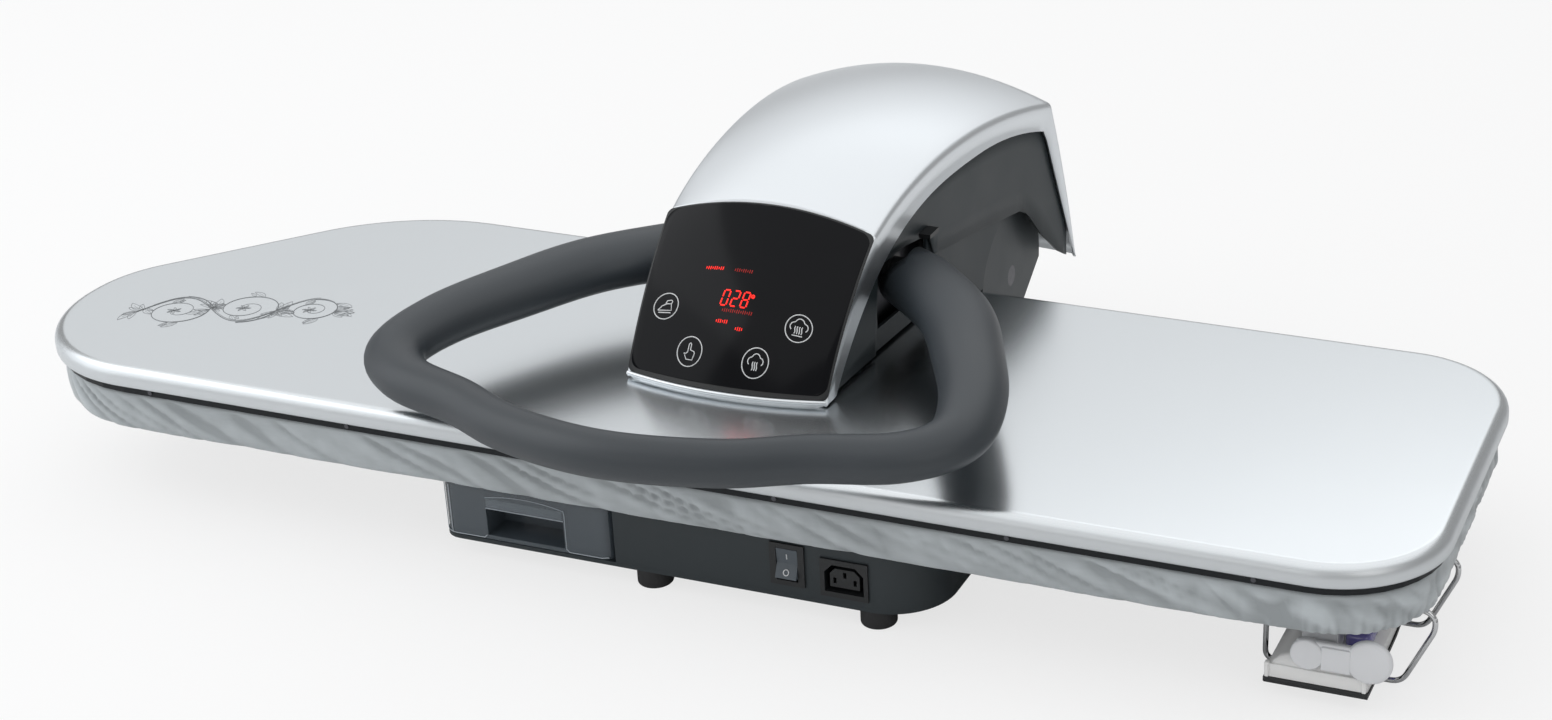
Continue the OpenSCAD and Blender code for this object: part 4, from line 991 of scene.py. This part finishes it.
class PRESS_OT_arm(bpy.types.Operator):
    """Makes the arched arm: its silver shell and dark side panels"""

    bl_idname = "press.arm"
    bl_label = "Arm"

    def execute(self, context):
        stations = [k / 18 for k in range(19)] + [PANEL_END, PANEL_END + 0.014]
        stations += [1 + k / 34 for k in range(2, 34)] + [1.985, 2.0, 2.02]
        stations += [2.05 + 0.95 * k / 14 for k in range(15)]
        mesh = bmesh.new()
        made = loft(mesh, [arm_ring(s) for s in stations], closed=False)
        for s, ring in zip(stations, made):
            if PANEL_END <= s < PANEL_END + 0.02:
                for a, b in zip(ring, ring[1:]):
                    mesh.edges.get((a, b)).smooth = False
        turn_outward(mesh, Vector((0, 0, 1)))
        shell = finish_piece("arm_shell", mesh, "head", "silver_plastic", ("arm_cover",))
        add_modifier(shell, "SOLIDIFY", thickness=SHELL_WALL, offset=-1.0)
        for side, node in ((1, "arm_side_right"), (-1, "arm_side_left")):
            self.flank(side, node)
        return {"FINISHED"}

    def flank(self, side, node):
        mesh = bmesh.new()
        stations = sorted(
            {-43.0, 22.0, 26.0, 30.0, 108.0, 112.0, 116.0, 292.0, 333.0} | {float(y) for y in range(-40, 332, 6)}
        )
        rings = []
        for y in stations:
            w = half_width(y) - 3.1
            low, high = side_foot(y), max(flange(y) + 5, side_foot(y) + 1.5)
            rings.append([(side * w, y, blend_between(low, high, k / 4)) for k in range(5)])
        loft(mesh, rings, closed=False)
        turn_outward(mesh, Vector((side, 0, 0)))
        name = "arm_flank_" + ("right" if side > 0 else "left")
        piece = finish_piece(name, mesh, "head", "dark_plastic", (node,))
        add_modifier(piece, "SOLIDIFY", thickness=FLANK_WALL, offset=-1.0)


def panel_point(u, s, lift=0.0, inset=1.6):
    """A point on the control panel: u runs from -1 to 1 across it and s from 0 at its foot to 1 at its head."""
    c = crease_inside(s, 0.0)
    w = half_width(c.x) - inset
    up = crease_inside(s, -lift) - c
    spot = c + up + bow_at(u, s)
    return (w * u, spot.x, spot.y)


PANEL_WIDE = 72.0
PANEL_LONG = 128.0
CREASE_LONG = 118.0
MARK_LIFT = 0.55


def panel_marks(points, u, s):
    """Places a flat drawing in millimetres on the panel, about a point of it."""
    return [panel_point(u + a / PANEL_WIDE, s + b / PANEL_LONG, MARK_LIFT) for a, b in points]


def ring_points(radius, start=0.0, end=360.0, steps=40, centre=(0.0, 0.0)):
    angles = [math.radians(start + (end - start) * k / steps) for k in range(steps + 1)]
    return [(centre[0] + radius * math.cos(a), centre[1] + radius * math.sin(a)) for a in angles]


def wave_points(x, low, high, sway):
    return [(x + sway * math.sin(k / 10 * 2 * math.pi), low + (high - low) * k / 10) for k in range(11)]


class PRESS_OT_panel(bpy.types.Operator):
    """Makes the glossy control panel with its touch marks and lit figures"""

    bl_idname = "press.panel"
    bl_label = "Control panel"

    def execute(self, context):
        glass = self.pane("panel_face", 0.034, 0.998, 1.3, 0.5, 7.0, "panel_glass", ("control_panel",))
        add_modifier(glass, "BEVEL", width=0.0006, segments=3, limit_method="ANGLE")
        bed = self.pane("panel_bed", 0.010, PANEL_END - 0.003, -0.2, -0.3, 4.0, "black_plastic")
        add_modifier(bed, "BEVEL", width=0.0004, segments=2, limit_method="ANGLE")
        self.lip()
        self.buttons()
        self.figures()
        return {"FINISHED"}

    def pane(self, name, low, high, inset, lift, radius, finish, replaces=()):
        """A bent sheet with rounded corners on the front of the arm."""
        near = [e / CREASE_LONG for e in (0.0, 0.25, 0.8, 1.8, 3.2, 5.0, 7.2)]
        stations = [low + e for e in near]
        stations += [blend_between(low + 0.08, high - 0.08, k / 22) for k in range(23)]
        stations += [high - e for e in reversed(near)]
        rings = []
        for s in stations:
            reach = min(radius, (s - low) * CREASE_LONG, (high - s) * CREASE_LONG)
            lost = radius - math.sqrt(radius**2 - (radius - reach) ** 2)
            share = 1.0 - lost / PANEL_WIDE
            rings.append([panel_point((-1 + 2 * k / 30) * share, s, lift, inset) for k in range(31)])
        mesh = bmesh.new()
        loft(mesh, rings, closed=False)
        turn_outward(mesh, Vector((0, -1, 0.3)))
        piece = finish_piece(name, mesh, "head", finish, replaces)
        add_modifier(piece, "SOLIDIFY", thickness=0.0028, offset=-1.0)
        return piece

    def lip(self):
        """The silver lip under the panel's foot."""
        lip = new_strokes("panel_lip", 1.5, "silver_plastic", 3)
        stroke(lip, [panel_point(-1 + 2 * k / 24, -0.002, -0.2, 0.4) for k in range(25)])
        settle(lip, "head")

    def buttons(self):
        marks = new_strokes("panel_marks", 0.38, "print_white", 1)
        radius = sizes().ring / MM
        iron, point, rising, burst = (-0.741, 0.386), (-0.385, 0.166), (0.291, 0.158), (0.621, 0.363)
        for u, s in (iron, point, rising, burst):
            stroke(marks, panel_marks(ring_points(radius), u, s)[:-1], closed=True)
        self.draw_mark(marks, [(-5.6, -3.0), (-3.0, 0.0), (0.4, 1.6), (3.8, 1.6), (4.8, -3.0), (-5.6, -3.0)], iron)
        self.draw_mark(marks, [(-0.6, 1.7), (0.4, 3.8), (3.4, 4.2), (4.4, 3.4), (3.8, 1.6)], iron)
        self.draw_mark(marks, [(-4.8, -4.6), (4.6, -4.6)], iron)
        finger = [(-2.4, -1.6), (-1.2, -0.4), (-1.2, 4.4), (-0.3, 5.3), (0.6, 4.4), (0.6, 0.9)]
        palm = [(3.4, 0.2), (4.0, -0.8), (3.2, -5.0), (-1.4, -5.0), (-3.8, -1.4), (-2.4, -1.6)]
        self.draw_mark(marks, finger + palm, point)
        self.draw_mark(marks, self.cloud(1.0), rising)
        for x in (-1.5, 0.0, 1.5):
            self.draw_mark(marks, wave_points(x, -4.6, 0.6, 0.3), rising)
        self.draw_mark(marks, self.cloud(1.15), burst)
        for x in (-2.4, -0.8, 0.8, 2.4):
            self.draw_mark(marks, wave_points(x, -3.8, 1.2, 0.25), burst)
        self.draw_mark(marks, [(-3.6, -5.0), (3.6, -5.0)], burst)
        settle(marks, "head")

    def cloud(self, size):
        """The upper edge of a plain cloud, from three arcs."""
        arcs = ring_points(2.4, 235, 95, 8, (-3.0, 0.8)) + ring_points(2.7, 160, 20, 8, (0.0, 2.9))
        arcs += ring_points(2.4, 85, -55, 8, (3.0, 0.8))
        return [(x * size, y * size) for x, y in arcs]

    def draw_mark(self, piece, points, spot):
        stroke(piece, panel_marks(points, spot[0], spot[1]))

    def figures(self):
        """Three plain figures of seven strokes each, a degree ring and dim dashes."""
        lit = new_strokes("display_figures", 0.52, "glow", 1)
        strokes_of = {"0": "abcdef", "2": "abged", "8": "abcdefg"}
        w, h = 4.3, 5.1
        ends = {
            "a": ((0, 2 * h), (w, 2 * h)), "b": ((w, 2 * h), (w, h)), "c": ((w, h), (w, 0)), "d": ((0, 0), (w, 0)),
            "e": ((0, h), (0, 0)), "f": ((0, 2 * h), (0, h)), "g": ((0, h), (w, h)),
        }
        centre = (-0.03, 0.452)
        gap, slope, first, apart = 0.55, 0.14, -11.5, 7.2
        for place, figure in enumerate("028"):
            for name in strokes_of[figure]:
                (x0, y0), (x1, y1) = ends[name]
                size = math.hypot(x1 - x0, y1 - y0)
                dx, dy = (x1 - x0) / size * gap, (y1 - y0) / size * gap
                shift = first + place * apart
                points = [(shift + x + slope * y, y - h) for x, y in ((x0 + dx, y0 + dy), (x1 - dx, y1 - dy))]
                stroke(lit, panel_marks(points, *centre))
        degree = ring_points(0.9, steps=14, centre=(10.6, 2.9))
        stroke(lit, panel_marks(degree, *centre)[:-1], closed=True)
        settle(lit, "head")
        self.ticks("display_ticks", "glow", ((-0.323, 0.605, 9), (-0.121, 0.331, 6), (0.065, 0.304, 4)))
        self.ticks("display_dim_ticks", "dim_glow", ((-0.031, 0.603, 9), (0.007, 0.388, 15)))

    def ticks(self, name, finish, rows):
        """Rows of small lit ticks on the display."""
        piece = new_strokes(name, 0.3, finish, 1)
        for u, s, count in rows:
            for k in range(count):
                x = (k - count / 2) * 1.5
                tall = 1.15 if k % 3 else 0.75
                stroke(piece, panel_marks([(x - 0.1 * tall, -tall), (x + 0.1 * tall, tall)], u, s))
        settle(piece, "head")


GRIP_PATH = [
    (0, -226, -1), (70, -211, -3), (121, -187, -3), (171, -168, -3), (196, -139, 0), (190, -94, 4), (166, -40, 6),
    (134, 16, 8), (81, 70, 8),
]
GRIP_RISE = 36.0
GRIP_RADIUS = 15


def grip_point(t):
    n = len(GRIP_PATH) - 1
    i = min(int(t * n), n - 1)
    u = t * n - i
    b, c = Vector(GRIP_PATH[i]), Vector(GRIP_PATH[i + 1])
    a = Vector(GRIP_PATH[i - 1]) if i > 0 else Vector((-GRIP_PATH[1][0], *GRIP_PATH[1][1:]))
    d = Vector(GRIP_PATH[i + 2]) if i < n - 1 else 2 * c - b
    place = 0.5 * (2 * b + (c - a) * u + (2 * a - 5 * b + 4 * c - d) * u * u + (3 * b - a - 3 * c + d) * u**3)
    return place + Vector((0, 0, SHOE_TOP + GRIP_RISE))


def grip_at(s):
    place = grip_point(abs(s))
    return Vector((-place.x, place.y, place.z)) if s < 0 else place


def grip_heading(s):
    if abs(s) >= 1:
        return Vector((-1, 0, 0))
    return (grip_at(min(1, s + 0.01)) - grip_at(max(-1, s - 0.01))).normalized()


class PRESS_OT_handle(bpy.types.Operator):
    """Makes the soft-covered loop handle"""

    bl_idname = "press.handle"
    bl_label = "Handle"

    def execute(self, context):
        rings = []
        steps, sides = 70, 32
        for k in range(-steps, steps + 1):
            s = k / steps
            way = grip_heading(s)
            across = way.cross(Vector((0, 0, 1))).normalized()
            up = across.cross(way)
            wide = GRIP_RADIUS + 13 * max(0.0, (abs(s) - 0.2) / 0.8)
            tall = GRIP_RADIUS + 3.5 * ramp(0.4, 0.85, abs(s))
            middle = grip_at(s)
            angles = [2 * math.pi * j / sides for j in range(sides)]
            rings.append([middle + across * wide * math.cos(a) + up * tall * math.sin(a) for a in angles])
        mesh = bmesh.new()
        loft(mesh, rings, True, True)
        outward(mesh)
        finish_piece("handle_loop", mesh, "handle", "foam", ("handle_grip",))
        return {"FINISHED"}


class PRESS_OT_rack(bpy.types.Operator):
    """Makes the bent wire rack under the board's right end"""

    bl_idname = "press.rack"
    bl_label = "Wire rack"

    def execute(self, context):
        wire = sizes().wire / MM
        rack = new_strokes("rack_wires", wire, "chrome", 4)
        x0, x1, out, inner = RACK_LOW.x + wire, 470.0, RACK_HIGH.x - wire, 473.0
        z0, z1 = RACK_LOW.z + wire, RACK_HIGH.z
        hem = CLOTH_LOW.z
        reaching = [(x0, z1), (x0, z0), (x1, z0), (out, hem - 14), (out - 3, hem - 4), (inner, hem - 3), (inner, z1)]
        upright = [(x0, z1), (x0, z0), (x1 - 8, z0), (inner, hem - 20), (inner, z1)]
        for y, line in ((-96, reaching), (-26, reaching), (20, upright), (66, upright)):
            path = self.bent([Vector(corner) for corner in line], 7.0)
            stroke(rack, [(p.x, y, p.y) for p in path])
        low = z0 + 2 * wire + 0.05
        for x, z in ((x0 + 10, low), (x1 - 18, low), (x0 + 2 * wire, z1 - 2), (inner - 2 * wire, z1 - 2)):
            stroke(rack, [(x, -100, z), (x, 70, z)])
        settle(rack, "base", ("iron_rack",))
        return {"FINISHED"}

    def bent(self, corners, radius):
        path = [corners[0]]
        for before, corner, after in zip(corners, corners[1:], corners[2:]):
            start = corner + radius * (before - corner).normalized()
            end = corner + radius * (after - corner).normalized()
            path += [bezier([start, corner, end], k / 8) for k in range(9)]
        return path + [corners[-1]]


class PRESS_OT_tank(bpy.types.Operator):
    """Makes the painted highlights along the clear water tank's edges, as pale strokes, and the paler lip of the tank
    """

    bl_idname = "press.tank"
    bl_label = "Tank rim highlights"

    def execute(self, context):
        low, high = (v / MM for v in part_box("tank_body"))
        x0, x1, y, z0, z1 = low.x, high.x, low.y, low.z, high.z
        r0, r1, top = x0 + 35, x0 + 93, z1 - 5
        # Painted highlights: pale strokes along the tank's edges and round its recess stand in for the light caught
        # by the clear plastic.
        rims = new_strokes("tank_rim_highlights", 0.32, "clear_rim", 2)
        angles = [k / 10 * math.pi / 2 for k in range(11)]
        corner = [(x0 + 11 - 11.2 * math.sin(a), y + 11 - 11.2 * math.cos(a)) for a in angles]
        foot, lift = z0 + 0.6, z0 + 2.6
        stroke(rims, [(cx, cy, foot) for cx, cy in reversed(corner)] + [(r0 - 3, y, foot), (r0 - 1, y, lift)])
        stroke(rims, [(r1 + 1, y, lift), (r1 + 3, y, foot), (x1 - 8, y, foot), (x1 - 3, y + 0.4, z0 + 1.6)])
        for cx, cy in (corner[2], corner[6]):
            stroke(rims, [(cx, cy, foot), (cx, cy, z1)])
        arch = [(blend_between(r0, r1, k / 16), y, top - 0.4 + 3.2 * (1 - (k / 8 - 1) ** 2)) for k in range(17)]
        stroke(rims, arch, widths=[0.7] * 17)
        stroke(rims, [(r0, y, top - 8.2), (r1, y, top - 8.2)], widths=[0.9] * 2)
        stroke(rims, [(r1 + 0.6, y, top), (r1 + 1.2, y, top - 4), (r1 + 1.0, y, lift)], widths=[0.7] * 3)
        settle(rims, "tank")
        mesh = bmesh.new()
        block(mesh, (r0 + 0.4, y - 0.35, top - 8.0), (r1 - 0.4, y + 1.6, top - 0.4), 0.5)
        finish_piece("tank_lip", mesh, "tank", "clear_lip")
        return {"FINISHED"}


class PRESS_OT_iron(bpy.types.Operator):
    """Makes the hand iron that is kept in the rack"""

    bl_idname = "press.iron"
    bl_label = "Hand iron"

    def execute(self, context):
        low, high = SOLE_LOW, SOLE_HIGH
        middle = (low.x + high.x) / 2
        wide = (high.x - low.x) / 2 * 0.97
        length = high.y - low.y
        base = high.z + 0.1
        mesh = bmesh.new()
        rings = []
        steps = 36
        section = ((1.0, 0.0), (1.0, 0.1), (0.985, 0.36), (0.965, 0.42))
        section += ((0.86, 0.58), (0.72, 0.8), (0.5, 0.95), (0.25, 1.0))
        for k in range(steps + 1):
            u = k / steps
            w = wide * (1.0 if u < 0.35 else math.sqrt(max(0.004, 1 - ((u - 0.35) / 0.65) ** 2)))
            tall = blend_between(24, 12, u) - 3.2
            swell = min(1.0, u * steps / 2.0)
            half = [(a * w, base + tall * b) for a, b in section]
            ring = [(-x, z) for x, z in half] + [(x, z) for x, z in reversed(half)]
            rings.append([(middle + x * blend_between(0.985, 1.0, swell), low.y + length * u, z) for x, z in ring])
        loft(mesh, rings, True, True)
        outward(mesh)
        finish_piece("iron_shell", mesh, "iron", "white_plastic", ("iron_body",))
        self.heel(middle, low.y, high.z)
        self.cap()
        return {"FINISHED"}

    def heel(self, middle, back, base):
        """The upright heel plate with its pillars, and the round covers over it."""
        mesh = bmesh.new()
        block(mesh, (middle - 31, back - 1.6, base + 2.2), (middle + 31, back + 1.0, base + 11.4), 0.5)
        for x in (middle - 31.8, middle + 28.8):
            block(mesh, (x, back - 2.6, base + 2.0), (x + 3.0, back + 1.5, base + 12.6), 1.0, 3)
        finish_piece("iron_heel_plate", mesh, "iron", "white_plastic")
        mesh = bmesh.new()
        block(mesh, (middle - 32.6, back - 2.2, base - 1.6), (middle + 32.6, back + 0.8, base + 2.1), 0.6)
        finish_piece("iron_band", mesh, "iron", "black_plastic")
        low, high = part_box("iron_lobes")
        z = (low.z + high.z) / 2 / MM + 4.5
        mesh = bmesh.new()
        drum(mesh, (middle - 5, back - 3.1, z + 1), (0, 1, 0), 10.5, 6, 1.6)
        drum(mesh, (middle + 33, back - 3.1, z + 2), (0, 1, 0), 14.5, 6, 2.6)
        block(mesh, (middle + 4, back - 6.4, z - 7.5), (middle + 22, back - 0.5, z + 8.5), 0.6)
        block(mesh, (middle - 12, back - 5.0, z + 1), (middle + 32, back - 0.5, z + 10.5), 1.5, 3)
        finish_piece("iron_heel", mesh, "iron", "grey_plastic", ("iron_lobes",))

    def cap(self):
        low, high = (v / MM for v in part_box("iron_tank"))
        mesh = bmesh.new()
        block(mesh, low, high, 5.0, 5)
        finish_piece("iron_cap", mesh, "iron", "purple_clear", ("iron_tank",))


class PRESS_OT_switch(bpy.types.Operator):
    """Marks the rocker switch with a plain dash and ring"""

    bl_idname = "press.switch"
    bl_label = "Switch marks"

    def execute(self, context):
        low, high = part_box("rocker")
        middle = (low + high) / 2 / MM
        marks = new_strokes("switch_marks", 0.36, "print_white", 1)
        stroke(marks, [self.on_rocker(middle, 0, b) for b in (3.4, 5.2, 7.0)])
        ring = ring_points(1.8, steps=20, centre=(0, -5.4))[:-1]
        stroke(marks, [self.on_rocker(middle, a, b) for a, b in ring], closed=True)
        settle(marks, "switch")
        return {"FINISHED"}

    def on_rocker(self, middle, a, b):
        """The point of the rocker's tilted face that lies behind a point in front of it, stood off by a hair."""
        start = Vector((middle.x + a, middle.y - 30, middle.z + b)) * MM
        place = frame["nodes"]["rocker"].ray_cast(start, Vector((0, 1, 0)))[1]
        return place / MM - Vector((0, 0.2, 0))


class PRESS_PT_panel(bpy.types.Panel):
    """Lists the press's sizes, colours and pieces"""

    bl_idname = "PRESS_PT_panel"
    bl_label = "Ironing press"
    bl_space_type = "VIEW_3D"
    bl_region_type = "UI"
    bl_category = "Ironing press"

    def draw(self, context):
        for group in (context.scene.press_sizes, context.scene.press_colours):
            for name in group.__annotations__:
                self.layout.prop(group, name)
        for operator in OPERATORS:
            self.layout.operator(operator.bl_idname)


OPERATORS = (
    PRESS_OT_finishes,
    PRESS_OT_stage,
    PRESS_OT_cloth,
    PRESS_OT_plate,
    PRESS_OT_arm,
    PRESS_OT_panel,
    PRESS_OT_handle,
    PRESS_OT_rack,
    PRESS_OT_tank,
    PRESS_OT_iron,
    PRESS_OT_switch,
)
CLASSES = (PressSizes, PressColours, *OPERATORS, PRESS_PT_panel)


def register():
    for cls in CLASSES:
        bpy.utils.register_class(cls)
    bpy.types.Scene.press_sizes = bpy.props.PointerProperty(type=PressSizes)
    bpy.types.Scene.press_colours = bpy.props.PointerProperty(type=PressColours)


def unregister():
    del bpy.types.Scene.press_colours
    del bpy.types.Scene.press_sizes
    for cls in reversed(CLASSES):
        bpy.utils.unregister_class(cls)


def corners(box):
    return [[float(v) for v in corner] for corner in box]


def main():
    register()
    bpy.ops.press.finishes()
    bpy.ops.press.stage()
    bpy.ops.press.cloth()
    bpy.ops.press.plate()
    bpy.ops.press.arm()
    bpy.ops.press.panel()
    bpy.ops.press.handle()
    bpy.ops.press.rack()
    bpy.ops.press.tank()
    bpy.ops.press.iron()
    bpy.ops.press.switch()


if __name__ == "__main__":
    main()
